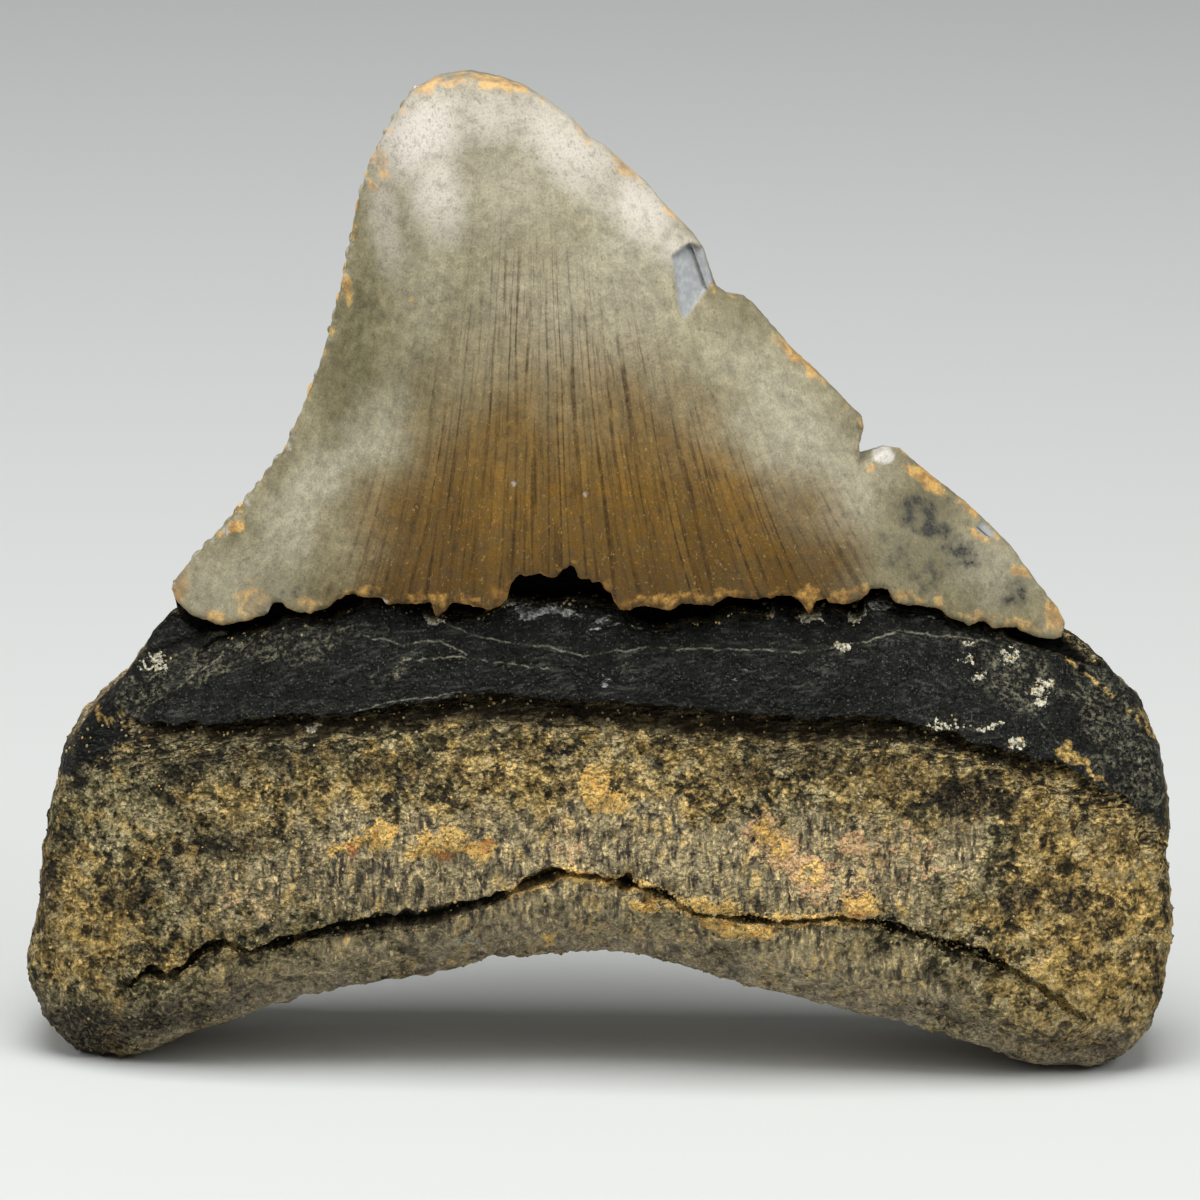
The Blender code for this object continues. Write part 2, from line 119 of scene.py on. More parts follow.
# Outlines and lines on the face, each point as (x, z) in millimetres.
CROWN_LEFT = [
    (-22.7, 24.1), (-22.5, 24.6), (-21.6, 25.8), (-19.8, 27.8), (-18.0, 30.1), (-16.8, 31.8),
    (-15.7, 34.4), (-14.9, 36.6), (-14.1, 39.6), (-13.6, 42.0), (-13.1, 44.8), (-12.5, 47.0),
    (-11.5, 49.0), (-10.3, 50.9),
]
CROWN_RIGHT = [
    (-8.9, 51.7), (-7.2, 51.9), (-5.6, 51.6), (-4.4, 51.2), (-3.1, 50.4), (-1.9, 49.5), (-1.0, 48.5),
    (-0.2, 48.1), (0.7, 47.3), (2.0, 46.2), (3.2, 44.8), (4.5, 43.5), (5.0, 42.7), (5.4, 41.5),
    (5.7, 40.7), (6.2, 40.4), (7.1, 40.3), (7.6, 39.9), (8.3, 39.1), (9.7, 37.5), (10.8, 36.5),
    (11.9, 35.4), (13.4, 33.9), (13.5, 33.4), (13.3, 32.7), (13.3, 31.8), (13.8, 32.0), (14.5, 32.3),
    (15.4, 32.2), (16.7, 31.1), (18.9, 29.4), (20.4, 28.0), (21.4, 27.0), (22.5, 25.5), (23.9, 23.7),
    (24.3, 22.9), (24.2, 22.5),
]
ENAMEL_EDGE = [
    (-22.62, 23.97), (-22.56, 23.71), (-22.34, 23.44), (-21.68, 22.93), (-21.14, 22.8), (-20.55, 22.74),
    (-20.28, 22.62), (-20.01, 22.61), (-19.31, 22.81), (-19.05, 22.95), (-18.67, 23.0), (-18.03, 23.35),
    (-17.71, 23.44), (-17.5, 23.63), (-17.4, 23.9), (-17.29, 24.12), (-17.13, 24.2), (-16.76, 24.25),
    (-16.49, 23.97), (-15.85, 23.84), (-15.54, 23.89), (-15.27, 23.84), (-15.06, 24.0), (-14.37, 24.24),
    (-13.85, 24.77), (-13.59, 24.85), (-13.48, 25.02), (-12.85, 25.2), (-12.75, 25.05), (-12.11, 25.07),
    (-11.75, 25.14), (-11.43, 25.1), (-11.38, 24.89), (-11.17, 24.81), (-10.54, 24.93), (-9.6, 24.99),
    (-8.97, 25.16), (-8.87, 25.04), (-8.79, 24.67), (-8.66, 24.37), (-8.09, 24.84), (-7.93, 25.12),
    (-7.78, 25.24), (-7.05, 25.19), (-6.74, 25.11), (-6.37, 25.11), (-5.96, 24.96), (-5.39, 25.21),
    (-5.18, 25.38), (-4.98, 25.66), (-4.78, 26.45), (-4.48, 26.83), (-4.32, 26.97), (-4.01, 26.86),
    (-3.29, 27.08), (-2.98, 26.92), (-2.67, 26.85), (-2.41, 26.94), (-2.11, 27.32), (-1.9, 27.43),
    (-1.8, 27.54), (-1.64, 27.55), (-1.49, 27.4), (-1.38, 27.14), (-1.33, 26.94), (-1.17, 26.84),
    (-0.71, 26.9), (-0.6, 26.7), (-0.19, 26.76), (-0.09, 26.66), (0.02, 26.4), (0.18, 26.25),
    (0.38, 26.2), (0.54, 25.73), (0.7, 25.52), (0.81, 25.31), (1.38, 25.26), (1.63, 25.42), (2.2, 25.5),
    (3.34, 25.24), (3.65, 25.29), (3.85, 25.5), (4.05, 25.6), (5.66, 25.44), (6.38, 25.89),
    (7.93, 25.65), (8.19, 25.74), (8.45, 25.76), (8.61, 25.67), (9.08, 25.8), (9.65, 25.76),
    (10.07, 25.53), (10.28, 25.3), (10.66, 24.71), (10.81, 24.85), (11.01, 25.41), (11.53, 25.45),
    (11.69, 25.25), (12.59, 25.08), (13.37, 25.27), (13.73, 25.55), (13.83, 25.74), (14.52, 25.75),
    (14.78, 25.65), (15.0, 25.18), (15.16, 24.96), (15.85, 24.74), (16.22, 24.73), (17.45, 24.43),
    (17.72, 24.25), (17.88, 24.03), (18.15, 23.85), (18.84, 23.58), (19.11, 23.35), (19.64, 23.54),
    (19.96, 23.51), (20.4, 23.11), (21.36, 23.08), (21.68, 23.02), (21.85, 22.86), (22.82, 22.41),
    (23.68, 22.22), (24.11, 22.3),
]
BACK_ENAMEL_EDGE = [
    (-22.4, 22.7), (-19.5, 20.6), (-15.0, 19.0), (-9.0, 18.9), (-3.5, 20.0), (0.5, 20.6), (5.0, 20.0),
    (11.0, 18.7), (17.0, 18.8), (21.0, 20.2), (23.9, 22.1),
]
HIDDEN_TOP = [
    (-22.7, 22.9), (-21.8, 23.6), (-20.0, 25.0), (-17.0, 27.0), (-10.0, 29.0), (-3.5, 29.6),
    (3.0, 29.4), (10.0, 28.6), (16.0, 27.2), (20.0, 25.4), (23.0, 23.5), (24.3, 22.7),
]
ROOT_RIGHT = [
    (25.3, 22.1), (26.3, 21.1), (27.4, 20.1), (28.3, 19.2), (29.1, 17.5), (29.6, 16.1), (29.9, 14.3),
    (30.0, 12.4), (29.8, 10.9), (30.1, 9.7), (30.3, 8.0), (30.2, 6.3), (30.0, 4.7), (29.6, 3.0),
    (29.1, 1.9), (28.2, 0.8), (27.0, 0.0),
]
ARCH = [
    (22.8, 0.0), (21.8, 0.6), (20.2, 1.2), (18.4, 1.8), (16.3, 2.4), (14.4, 2.9), (12.8, 3.3),
    (10.6, 3.8), (8.8, 4.2), (7.1, 4.8), (5.7, 5.2), (3.3, 5.9), (1.9, 6.2), (0.5, 6.4), (-0.9, 6.4),
    (-2.3, 6.2), (-3.8, 6.0), (-5.1, 6.1), (-5.8, 5.9), (-7.3, 5.3), (-9.3, 4.9), (-11.4, 4.4),
    (-13.5, 4.1), (-15.5, 3.5), (-17.3, 3.0), (-19.0, 2.3), (-20.7, 1.6), (-22.4, 0.8), (-23.8, 0.0),
]
ROOT_LEFT = [
    (-27.6, 0.0), (-28.5, 0.7), (-29.2, 1.7), (-29.9, 3.2), (-30.3, 4.5), (-30.0, 5.8), (-29.7, 7.7),
    (-29.4, 9.6), (-29.3, 11.2), (-29.1, 12.8), (-28.6, 14.2), (-28.4, 15.4), (-28.1, 16.5),
    (-27.4, 17.6), (-26.7, 18.4), (-25.5, 19.4), (-24.5, 20.7), (-23.6, 22.0),
]
BAND_TOP = [
    (-23.82, 22.56), (-22.66, 22.99), (-22.33, 22.93), (-21.57, 22.44), (-20.91, 22.19), (-19.95, 22.4),
    (-19.31, 22.3), (-17.61, 22.75), (-16.87, 23.18), (-16.34, 23.35), (-15.17, 23.39), (-14.59, 23.51),
    (-13.07, 24.27), (-12.28, 24.64), (-11.81, 24.71), (-10.34, 24.59), (-10.03, 24.47), (-9.61, 24.46),
    (-9.29, 24.33), (-8.88, 24.27), (-7.16, 24.49), (-6.12, 24.61), (-5.76, 24.74), (-5.45, 24.96),
    (-5.14, 25.3), (-4.88, 25.42), (-4.52, 25.34), (-4.11, 25.41), (-3.8, 25.37), (-3.48, 25.23),
    (-1.73, 25.44), (-0.69, 25.42), (0.71, 25.15), (1.12, 24.95), (1.49, 24.59), (1.91, 24.29),
    (2.69, 24.03), (3.46, 24.18), (4.13, 24.47), (4.49, 24.51), (5.01, 24.48), (5.32, 24.4),
    (5.58, 24.44), (5.78, 24.63), (6.14, 24.72), (6.45, 24.89), (6.87, 24.9), (7.96, 24.66),
    (8.38, 24.69), (8.64, 24.78), (8.89, 25.02), (10.2, 24.65), (10.88, 24.66), (11.35, 24.73),
    (11.77, 24.71), (12.82, 24.34), (13.24, 24.31), (13.5, 24.49), (13.6, 24.88), (13.86, 25.06),
    (14.86, 24.93), (15.61, 24.31), (16.09, 24.22), (16.51, 24.28), (17.46, 24.2), (17.79, 23.92),
    (18.48, 23.51), (18.96, 23.37), (19.23, 23.2), (19.5, 23.31), (19.98, 23.26), (20.4, 22.98),
    (21.1, 22.86), (21.32, 22.6), (23.03, 21.92), (24.53, 21.5), (25.61, 21.13),
]
BAND_FOOT = [
    (-29.2, 17.2), (-26.1, 18.1), (-23.4, 18.1), (-20.2, 18.3), (-17.9, 18.8), (-15.7, 19.2),
    (-13.0, 19.3), (-10.4, 19.9), (-7.2, 20.5), (-5.1, 20.6), (-2.4, 20.4), (1.5, 20.3), (5.1, 20.0),
    (11.1, 19.5), (13.1, 19.7), (15.8, 19.4), (20.9, 17.7), (23.7, 17.0), (27.4, 14.9), (29.7, 13.1),
    (30.3, 12.6),
]
STRIP_FOOT = [
    (-30.0, 17.0), (-26.1, 17.6), (-20.2, 17.7), (-14.3, 18.3), (-10.3, 18.8), (-7.0, 19.3),
    (-4.4, 19.4), (0.2, 19.2), (4.5, 18.8), (10.5, 18.6), (16.3, 18.5), (20.9, 17.2), (30.0, 12.0),
]
NECK_LINE = [
    (-23.0, 23.0), (-20.0, 22.8), (-16.0, 23.8), (-11.0, 24.8), (-4.0, 25.1), (5.0, 25.2), (13.0, 25.1),
    (17.0, 24.3), (20.5, 23.3), (24.5, 22.4),
]

# The unbroken sides as (z, x).
SIDE_LEFT = [
    (-1.0, -29.9), (2.0, -30.2), (4.5, -30.3), (9.6, -29.5), (12.8, -29.1), (15.4, -28.5),
    (17.6, -27.4), (19.4, -25.6), (21.9, -23.6), (23.2, -22.8), (25.0, -22.2), (26.8, -20.6),
    (28.9, -18.9), (31.2, -17.2), (34.4, -15.7), (39.6, -14.1), (44.2, -13.2), (47.0, -12.5),
    (49.6, -11.2), (51.2, -9.8), (52.0, -7.2),
]
SIDE_RIGHT = [
    (-1.0, 29.7), (2.0, 30.1), (6.3, 30.3), (12.4, 30.1), (16.1, 29.6), (19.2, 28.3), (21.1, 26.4),
    (22.9, 24.4), (25.5, 22.6), (28.0, 20.5), (31.7, 16.2), (35.5, 12.1), (40.0, 7.6), (42.7, 5.2),
    (44.8, 3.3), (48.3, 0.1), (50.4, -3.0), (51.5, -5.4), (52.0, -7.2),
]

# Open cracks as (x, z, half width).
CRACK = [
    (-24.5, 5.0, 0.05), (-23.3, 5.9, 0.12), (-22.5, 5.5, 0.1), (-21.5, 6.2, 0.04), (-20.5, 7.2, 0.15),
    (-19.5, 7.6, 0.08), (-18.2, 7.1, 0.04), (-16.6, 7.7, 0.12), (-14.8, 8.2, 0.09), (-13.7, 8.5, 0.2),
    (-11.3, 9.0, 0.25), (-8.9, 9.2, 0.3), (-7.3, 9.8, 0.26), (-5.4, 10.3, 0.2), (-4.6, 10.7, 0.06),
    (-4.0, 11.0, 0.1), (-3.2, 11.4, 0.26), (-2.2, 11.8, 0.2), (-1.6, 11.8, 0.05), (-0.5, 11.7, 0.05),
    (0.5, 11.5, 0.05), (1.3, 11.2, 0.27), (2.1, 11.1, 0.06), (3.3, 10.7, 0.24), (4.0, 10.3, 0.05),
    (5.0, 9.8, 0.05), (6.6, 9.6, 0.05), (7.3, 9.5, 0.12), (8.2, 9.4, 0.14), (9.2, 9.3, 0.05),
    (12.5, 9.5, 0.05), (13.9, 9.4, 0.05), (14.9, 9.1, 0.17), (16.4, 8.6, 0.17), (17.2, 8.4, 0.07),
    (18.1, 8.1, 0.18), (19.0, 7.8, 0.07), (19.8, 7.7, 0.17), (20.4, 7.2, 0.06), (21.0, 6.9, 0.12),
    (21.7, 6.5, 0.04), (23.2, 5.5, 0.03), (25.4, 3.6, 0.02),
]
SPLITS = [
    [(-20.9, 21.4, 0.05), (-20.72, 21.51, 0.07), (-20.15, 21.88, 0.12), (-19.72, 21.97, 0.1),
     (-19.41, 22.19, 0.16), (-18.9, 22.45, 0.16)],
    [(-24.6, 20.7, 0.05), (-23.66, 20.99, 0.09), (-23.24, 21.22, 0.07), (-22.6, 21.43, 0.11),
     (-22.08, 21.75, 0.17), (-21.65, 21.79, 0.2), (-21.12, 21.99, 0.19), (-20.6, 22.3, 0.14)],
]
HAIRLINES = [
    [(-8.3, 23.95), (-6.7, 23.45), (-5.1, 23.25), (-2.9, 23.1), (-1.0, 22.75), (0.8, 23.0),
     (2.1, 23.15), (5.0, 23.1), (8.1, 23.0), (9.8, 22.85), (11.3, 22.9), (13.7, 23.1),
     (15.4, 23.45), (17.1, 23.1), (18.7, 22.8), (20.1, 22.5)],
    [(-10.4, 22.1), (-8.0, 22.4), (-7.0, 22.4), (-4.3, 22.1), (-2.6, 22.0)],
    [(-15.6, 23.1), (-14.8, 22.95), (-14.1, 23.0), (-13.2, 23.3), (-12.9, 23.4)],
    [(-12.4, 22.95), (-11.4, 22.9), (-10.4, 22.7), (-9.8, 22.95), (-8.5, 23.1), (-7.1, 22.6)],
    [(-24.4, 18.6), (-22.4, 19.6), (-21.4, 20.3), (-20.0, 21.2)],
    [(22.5, 19.6), (23.1, 18.6), (23.9, 17.9)],
    [(-12.6, 19.7), (-10.6, 20.2), (-9.2, 20.4), (-7.3, 20.8)],
]

# The marks on each surface, as (x, z, half width, half height, turn in degrees, strength).
ROOT_FIBRE = [
    (-9.0, 11.6, 7.5, 2.6, 0, 1.0), (2.0, 12.2, 9.0, 2.6, -4, 1.0), (11.5, 11.8, 5.0, 2.8, 0, 0.95),
    (-1.5, 8.0, 9.0, 1.6, 0, 0.9), (17.3, 12.2, 3.6, 2.0, 0, 0.6), (-18.5, 10.2, 4.5, 2.4, 10, 0.4),
    (11.0, 7.0, 8.0, 1.8, -14, 0.75), (-14.5, 6.4, 6.0, 1.3, 14, 0.5), (6.0, 4.8, 5.0, 0.8, -12, 0.5),
]
ROOT_RUST = [
    (-0.4, 16.2, 0.9, 1.1, 0, 1.0), (0.7, 15.4, 0.6, 0.7, 0, 0.8), (2.4, 10.1, 0.9, 0.4, -10, 1.0),
    (-13.2, 12.9, 1.1, 0.4, 12, 0.8), (-11.4, 13.5, 0.9, 0.7, 20, 1.0), (-8.2, 13.2, 1.4, 0.7, 0, 1.0),
    (-6.3, 13.0, 0.9, 0.5, 0, 0.9), (-9.6, 12.6, 0.5, 0.3, 0, 0.8), (5.2, 10.2, 1.8, 0.45, 0, 1.0),
    (7.4, 8.8, 1.6, 0.5, 0, 0.9), (9.0, 9.4, 0.5, 0.35, 0, 0.9), (-2.5, 8.0, 0.4, 0.3, 0, 0.9),
    (8.4, 14.0, 0.5, 0.5, 0, 0.8), (9.3, 13.2, 0.8, 0.5, -40, 0.8), (11.0, 11.8, 0.7, 0.7, 0, 0.6),
]
ROOT_GOLD = [
    (0.0, 16.5, 11.0, 2.4, 0, 0.5), (-15.0, 15.6, 6.0, 1.6, 8, 0.4), (25.6, 8.5, 4.5, 6.0, 0, 1.0),
    (-27.0, 7.4, 2.6, 3.0, 0, 0.75), (17.0, 14.0, 4.0, 3.0, 0, 0.25), (-7.0, 14.4, 4.0, 1.6, 0, 0.4),
    (11.0, 12.6, 3.0, 2.4, -40, 0.4), (24.0, 14.5, 4.0, 2.0, -20, 0.55), (-2.0, 9.0, 2.0, 1.0, 0, 0.3),
    (15.5, 16.6, 6.0, 1.6, -6, 0.5), (-22.0, 6.8, 3.0, 1.2, 10, 0.3),
]
ROOT_CAKES = [
    (2.5, 10.0, 0.8, 0.35, -10, 1.0), (5.2, 10.15, 1.8, 0.4, 0, 1.0), (6.4, 9.3, 1.4, 0.4, 10, 1.0),
    (7.6, 8.7, 1.7, 0.5, 0, 1.0), (9.0, 9.5, 0.6, 0.35, 0, 0.9), (10.6, 9.5, 1.0, 0.2, 0, 0.8),
    (13.5, 10.2, 1.15, 0.6, 0, 1.0), (-0.9, 11.9, 0.8, 0.2, 0, 0.8), (2.4, 11.3, 0.4, 0.25, 0, 0.8),
    (-8.2, 13.2, 1.2, 0.6, 0, 0.6), (-11.4, 13.5, 0.8, 0.6, 20, 0.6), (-0.3, 16.1, 0.8, 1.0, 0, 0.5),
    (-4.4, 10.9, 0.7, 0.14, 30, 0.7),
]
ROOT_RED = [
    (-12.9, 12.7, 0.5, 0.4, 0, 0.75), (-8.0, 12.6, 0.6, 0.35, 0, 0.75), (-6.0, 13.2, 0.5, 0.35, 0, 0.7),
    (13.4, 9.9, 0.7, 0.3, 0, 0.6), (7.5, 8.6, 0.8, 0.2, 0, 0.5),
]
ROOT_PINK = [
    (8.4, 14.0, 1.0, 0.9, -40, 0.7), (9.6, 12.8, 1.8, 0.9, -45, 0.75), (11.2, 11.6, 1.0, 1.4, 0, 0.7),
    (13.2, 13.2, 0.9, 1.0, 0, 0.6), (15.0, 12.4, 3.2, 2.0, 0, 0.35), (13.4, 10.2, 1.3, 0.8, 0, 0.7),
    (-2.0, 13.4, 1.8, 1.5, 0, 0.35), (-18.5, 9.6, 2.0, 1.2, 10, 0.3),
]
# Dark grey stains; the marks at the feet, along the arch, at the sides and just below the band are painted
# shade.
ROOT_GREY_STAIN_AND_SHADE = [
    (19.4, 15.4, 2.4, 0.9, -8, 1.0), (21.9, 10.3, 1.2, 0.9, 0, 0.9), (24.6, 10.1, 1.2, 0.9, 0, 0.8),
    (26.7, 8.4, 0.9, 0.8, 0, 0.8), (-15.0, 11.6, 1.6, 0.9, 0, 0.35), (-22.5, 15.8, 2.6, 1.2, 20, 0.45),
    (2.5, 13.8, 1.6, 1.2, 0, 0.3), (26.5, 13.0, 1.6, 1.4, 0, 0.5), (-27.0, 1.6, 3.0, 2.0, 20, 0.9),
    (25.8, 1.6, 3.0, 1.5, -20, 0.5), (-18.0, 16.9, 6.0, 1.1, 6, 0.45), (-28.9, 8.5, 0.9, 3.0, 0, 0.6),
    (12.0, 17.4, 5.5, 1.0, -4, 0.5), (-20.0, 3.6, 3.4, 0.9, 24, 0.5), (18.5, 3.4, 3.6, 0.9, -22, 0.55),
    (29.4, 4.5, 0.8, 3.0, 0, 0.5), (-24.6, 10.0, 2.2, 1.0, 0, 0.5), (-19.6, 12.8, 2.6, 1.1, -10, 0.5),
    (7.2, 16.8, 2.2, 0.9, 0, 0.5), (-10.6, 16.6, 2.8, 0.9, 0, 0.5), (15.6, 16.4, 2.2, 0.9, 0, 0.55),
    (-4.6, 14.4, 1.6, 0.8, 0, 0.4), (-23.6, 2.8, 2.8, 1.3, 20, 0.65),
]
ROOT_PALE = [
    (-6.7, 7.95, 0.55, 0.42, -10, 1.0), (-6.3, 7.65, 0.35, 0.32, 0, 1.0),
    (-23.5, 20.6, 0.9, 0.3, 12, 0.55), (21.5, 18.1, 0.5, 0.22, 0, 0.7), (21.3, 21.8, 0.5, 0.35, 0, 0.6),
    (23.1, 20.1, 0.65, 0.45, 0, 0.6), (19.1, 22.5, 0.25, 0.2, 0, 0.8), (19.0, 21.8, 0.25, 0.2, 0, 0.7),
    (19.7, 21.1, 0.4, 0.2, 0, 0.6), (20.1, 18.9, 1.0, 0.12, 0, 0.6), (-8.7, 24.0, 0.45, 0.25, 0, 0.9),
    (10.8, 24.4, 0.75, 0.35, 0, 1.0), (12.6, 23.0, 0.6, 0.16, 0, 0.7), (8.6, 24.6, 0.25, 0.3, 0, 1.0),
    (-5.0, 25.1, 0.45, 0.25, 0, 1.0), (-15.0, 18.6, 0.5, 0.2, 20, 0.7),
    (17.7, 19.2, 1.0, 0.25, 0, 0.45), (13.2, 24.2, 0.4, 0.25, 30, 1.0),
]
BAND_CHALK = [
    (-3.8, 24.9, 0.95, 0.42, 0, 0.9), (-2.0, 24.85, 1.2, 0.32, -12, 1.0),
    (-0.2, 24.4, 1.7, 0.35, -8, 0.85), (2.6, 23.9, 0.9, 0.2, 0, 0.7),
    (14.4, 24.75, 0.85, 0.35, -8, 1.0), (-4.6, 24.35, 0.6, 0.12, 0, 0.8),
    (12.6, 24.15, 1.4, 0.15, 0, 0.5), (16.8, 24.0, 1.2, 0.12, -6, 0.7), (6.6, 24.75, 1.1, 0.16, 8, 0.5),
    (0.3, 21.6, 0.4, 0.35, 0, 0.5), (6.8, 21.5, 1.1, 0.45, 12, 0.55), (9.6, 24.4, 1.0, 0.3, 0, 0.35),
]
BAND_DUST = [
    (-17.4, 22.0, 3.4, 0.75, 10, 0.9), (-20.8, 21.0, 2.2, 0.8, 28, 1.0),
    (-14.6, 22.8, 1.8, 0.35, 8, 0.8), (-11.0, 21.6, 2.0, 0.8, 0, 0.45),
    (-24.0, 19.4, 1.8, 0.9, 30, 0.95), (3.0, 22.0, 4.0, 1.0, 0, 0.2), (19.0, 22.6, 1.0, 0.5, -20, 0.5),
    (22.0, 21.0, 2.0, 1.5, -25, 0.8), (26.0, 17.6, 2.2, 1.2, -40, 0.55),
    (12.0, 22.2, 3.0, 1.0, 0, 0.25), (26.6, 18.8, 2.8, 1.5, -45, 1.0), (28.2, 15.6, 1.4, 2.2, -30, 0.9),
]
TAN_PATCHES = [
    (24.2, 17.6, 0.4, 0.5, 0, 0.9), (25.0, 17.0, 0.9, 0.22, -45, 0.9),
    (26.0, 16.2, 0.7, 0.16, -42, 0.7), (-26.2, 18.3, 0.6, 0.3, 0, 0.7),
    (-25.0, 18.0, 0.6, 0.25, 0, 0.6),
]
BAND_PIT = (25.2, 20.8, 0.3, 0.25, 0, 1.0)
SEAM = [
    (24.5, 22.4), (24.4, 21.4), (25.2, 20.75), (25.8, 20.3), (26.5, 19.7), (27.4, 19.1), (28.2, 18.5),
    (28.9, 17.8), (29.3, 17.2),
]
BAND_TAIL = [
    (-27.2, 19.2), (-25.7, 18.3), (-24.6, 18.0), (-24.9, 17.3), (-26.2, 16.4), (-27.2, 15.5),
    (-28.2, 15.0), (-30.5, 13.6), (-30.5, 19.2),
]
SPOTS = [
    (13.4, 10.2, 1.3, -0.45), (6.0, 10.6, 1.4, -0.18), (1.6, 11.4, 0.7, 0.4), (3.6, 10.9, 0.6, 0.4),
    (25.2, 20.8, 0.5, 0.9), (20.0, 15.9, 1.6, 0.25), (17.6, 19.0, 1.2, -0.25), (-24.0, 4.6, 1.8, 0.25),
    (20.1, 18.5, 0.9, -0.2), (-6.3, 7.5, 0.4, -0.12), (-26.6, 11.5, 0.7, 0.15), (-23.0, 8.3, 0.9, 0.12),
]
AMBER_LEFT = [(22.0, -15.0), (26.7, -13.6), (31.1, -11.2), (36.6, -8.1), (45.8, -6.0), (52.0, -5.5)]
AMBER_RIGHT = [
    (22.0, 16.5), (27.3, 13.6), (31.5, 10.4), (34.8, 5.6), (40.9, 0.0), (45.8, -3.0), (52.0, -5.5),
]
# Paler enamel; the marks near the tip and at its upper right are painted highlight.
CROWN_PALE_AND_SHEEN = [
    (-14.6, 30.6, 6.2, 1.3, 49, 0.65), (-19.5, 24.8, 3.0, 1.5, 20, 0.45),
    (20.4, 26.0, 1.8, 1.5, -40, 0.5), (9.5, 34.5, 4.5, 1.8, -45, 0.6), (12.5, 31.0, 1.8, 2.2, 0, 0.5),
    (-9.6, 42.5, 1.6, 5.0, 8, 0.35), (1.5, 43.5, 2.6, 1.8, -45, 0.7), (-5.0, 46.0, 5.5, 5.0, 0, 0.3),
    (-2.0, 40.5, 5.0, 4.0, 0, 0.6),
]
CROWN_DEEP = [
    (-13.0, 37.5, 1.3, 5.0, -12, 0.8), (-12.3, 43.5, 0.9, 3.0, -8, 0.5),
    (-18.6, 27.3, 1.0, 2.6, -42, 0.6), (-14.0, 25.6, 3.6, 1.5, 10, 0.7),
    (-9.2, 35.5, 1.4, 5.0, -6, 0.4), (12.6, 33.6, 0.8, 1.2, -40, 0.4), (15.8, 30.3, 1.6, 1.4, -40, 0.4),
    (18.6, 26.0, 3.0, 1.4, -30, 0.5), (21.6, 25.0, 1.4, 1.6, -40, 0.4),
]
# Whitish worn tip, partly painted highlight where the softboxes shine on the tip.
CROWN_FROST_AND_HIGHLIGHT = [
    (-9.7, 48.9, 2.6, 1.7, 48, 1.0), (-2.2, 48.4, 3.4, 1.5, -42, 0.75), (1.6, 45.2, 2.0, 1.2, -45, 0.8),
    (-8.9, 46.2, 1.3, 2.2, 10, 0.8), (-6.6, 50.0, 3.0, 1.5, 0, 0.55), (3.6, 43.0, 0.8, 0.8, -45, 0.6),
    (-11.6, 44.6, 0.8, 2.6, 8, 0.4), (-5.0, 47.0, 2.6, 2.6, 0, 0.15),
]
CROWN_SMUDGES = [
    (16.3, 29.4, 0.9, 0.9, 20, 0.9), (17.2, 28.6, 1.6, 0.8, -42, 0.95),
    (18.5, 27.3, 1.3, 0.7, -45, 0.8), (21.4, 24.7, 0.9, 0.7, 0, 0.7), (15.6, 27.6, 1.3, 1.0, 0, 0.5),
    (17.0, 26.4, 1.2, 1.0, 0, 0.45), (-16.9, 24.9, 1.6, 0.8, 10, 0.3), (13.4, 33.0, 0.12, 0.9, 0, 0.9),
]
CROWN_RUST = [
    (9.8, 37.3, 1.3, 0.32, -43, 0.9), (10.6, 36.6, 0.5, 0.35, -43, 1.0),
    (16.8, 30.7, 1.15, 0.35, -38, 1.0), (19.2, 29.1, 0.55, 0.25, -40, 0.9),
    (19.6, 27.7, 0.6, 0.2, -40, 0.8), (21.8, 25.7, 0.6, 0.3, -15, 0.9),
    (-19.3, 27.6, 0.45, 0.25, 45, 1.0), (-10.1, 40.4, 0.13, 0.13, 0, 1.0),
    (23.8, 23.1, 0.45, 1.0, 20, 0.9), (-20.1, 23.0, 0.8, 0.4, 0, 1.0),
    (-18.3, 24.0, 1.0, 0.9, 40, 0.45), (-15.6, 24.2, 0.9, 0.3, 0, 0.6),
    (-12.6, 25.4, 1.0, 0.25, 10, 0.6), (-8.9, 25.3, 1.1, 0.35, 0, 0.7), (-7.2, 25.5, 0.8, 0.3, 0, 1.0),
    (2.8, 25.7, 1.4, 0.35, 0, 0.9), (4.4, 25.9, 1.2, 0.3, 0, 0.6), (7.0, 26.0, 1.5, 0.25, 0, 0.4),
    (12.8, 25.5, 1.3, 0.4, 10, 0.9), (10.7, 25.6, 0.8, 0.5, 0, 0.7), (15.6, 25.1, 1.3, 0.3, -8, 0.8),
    (17.6, 24.6, 0.7, 0.25, -20, 0.8), (19.8, 23.8, 1.0, 0.25, -10, 0.7),
    (22.2, 22.95, 1.2, 0.28, -20, 0.9), (-8.8, 51.4, 1.6, 0.25, 20, 0.8),
    (-5.6, 51.5, 1.6, 0.3, -8, 0.8), (0.9, 47.0, 1.0, 0.2, -42, 0.7), (3.2, 44.7, 0.6, 0.18, -46, 0.7),
    (-12.0, 47.6, 0.3, 1.2, 25, 0.6), (-13.6, 40.6, 0.25, 0.8, 12, 0.7),
    (-13.3, 43.6, 0.25, 0.7, 10, 0.6), (-12.2, 46.0, 0.2, 0.5, 20, 0.8),
    (13.9, 31.6, 0.35, 0.2, -20, 0.7),
]
CROWN_PEACH = [
    (-22.35, 24.0, 0.4, 1.3, -8, 0.8), (-5.3, 25.5, 0.32, 0.75, 28, 1.0),
    (-4.85, 26.2, 0.12, 0.6, 10, 0.9), (0.25, 26.2, 0.4, 0.5, 40, 0.9), (1.2, 25.6, 0.5, 0.3, 0, 0.8),
    (13.2, 25.35, 0.7, 0.28, 10, 0.8), (-17.7, 23.9, 0.3, 0.4, 0, 0.7),
    (-11.2, 25.0, 0.25, 0.15, 0, 0.9), (20.0, 23.6, 0.4, 0.14, -20, 0.8),
    (9.0, 25.9, 0.5, 0.12, 0, 0.8),
]
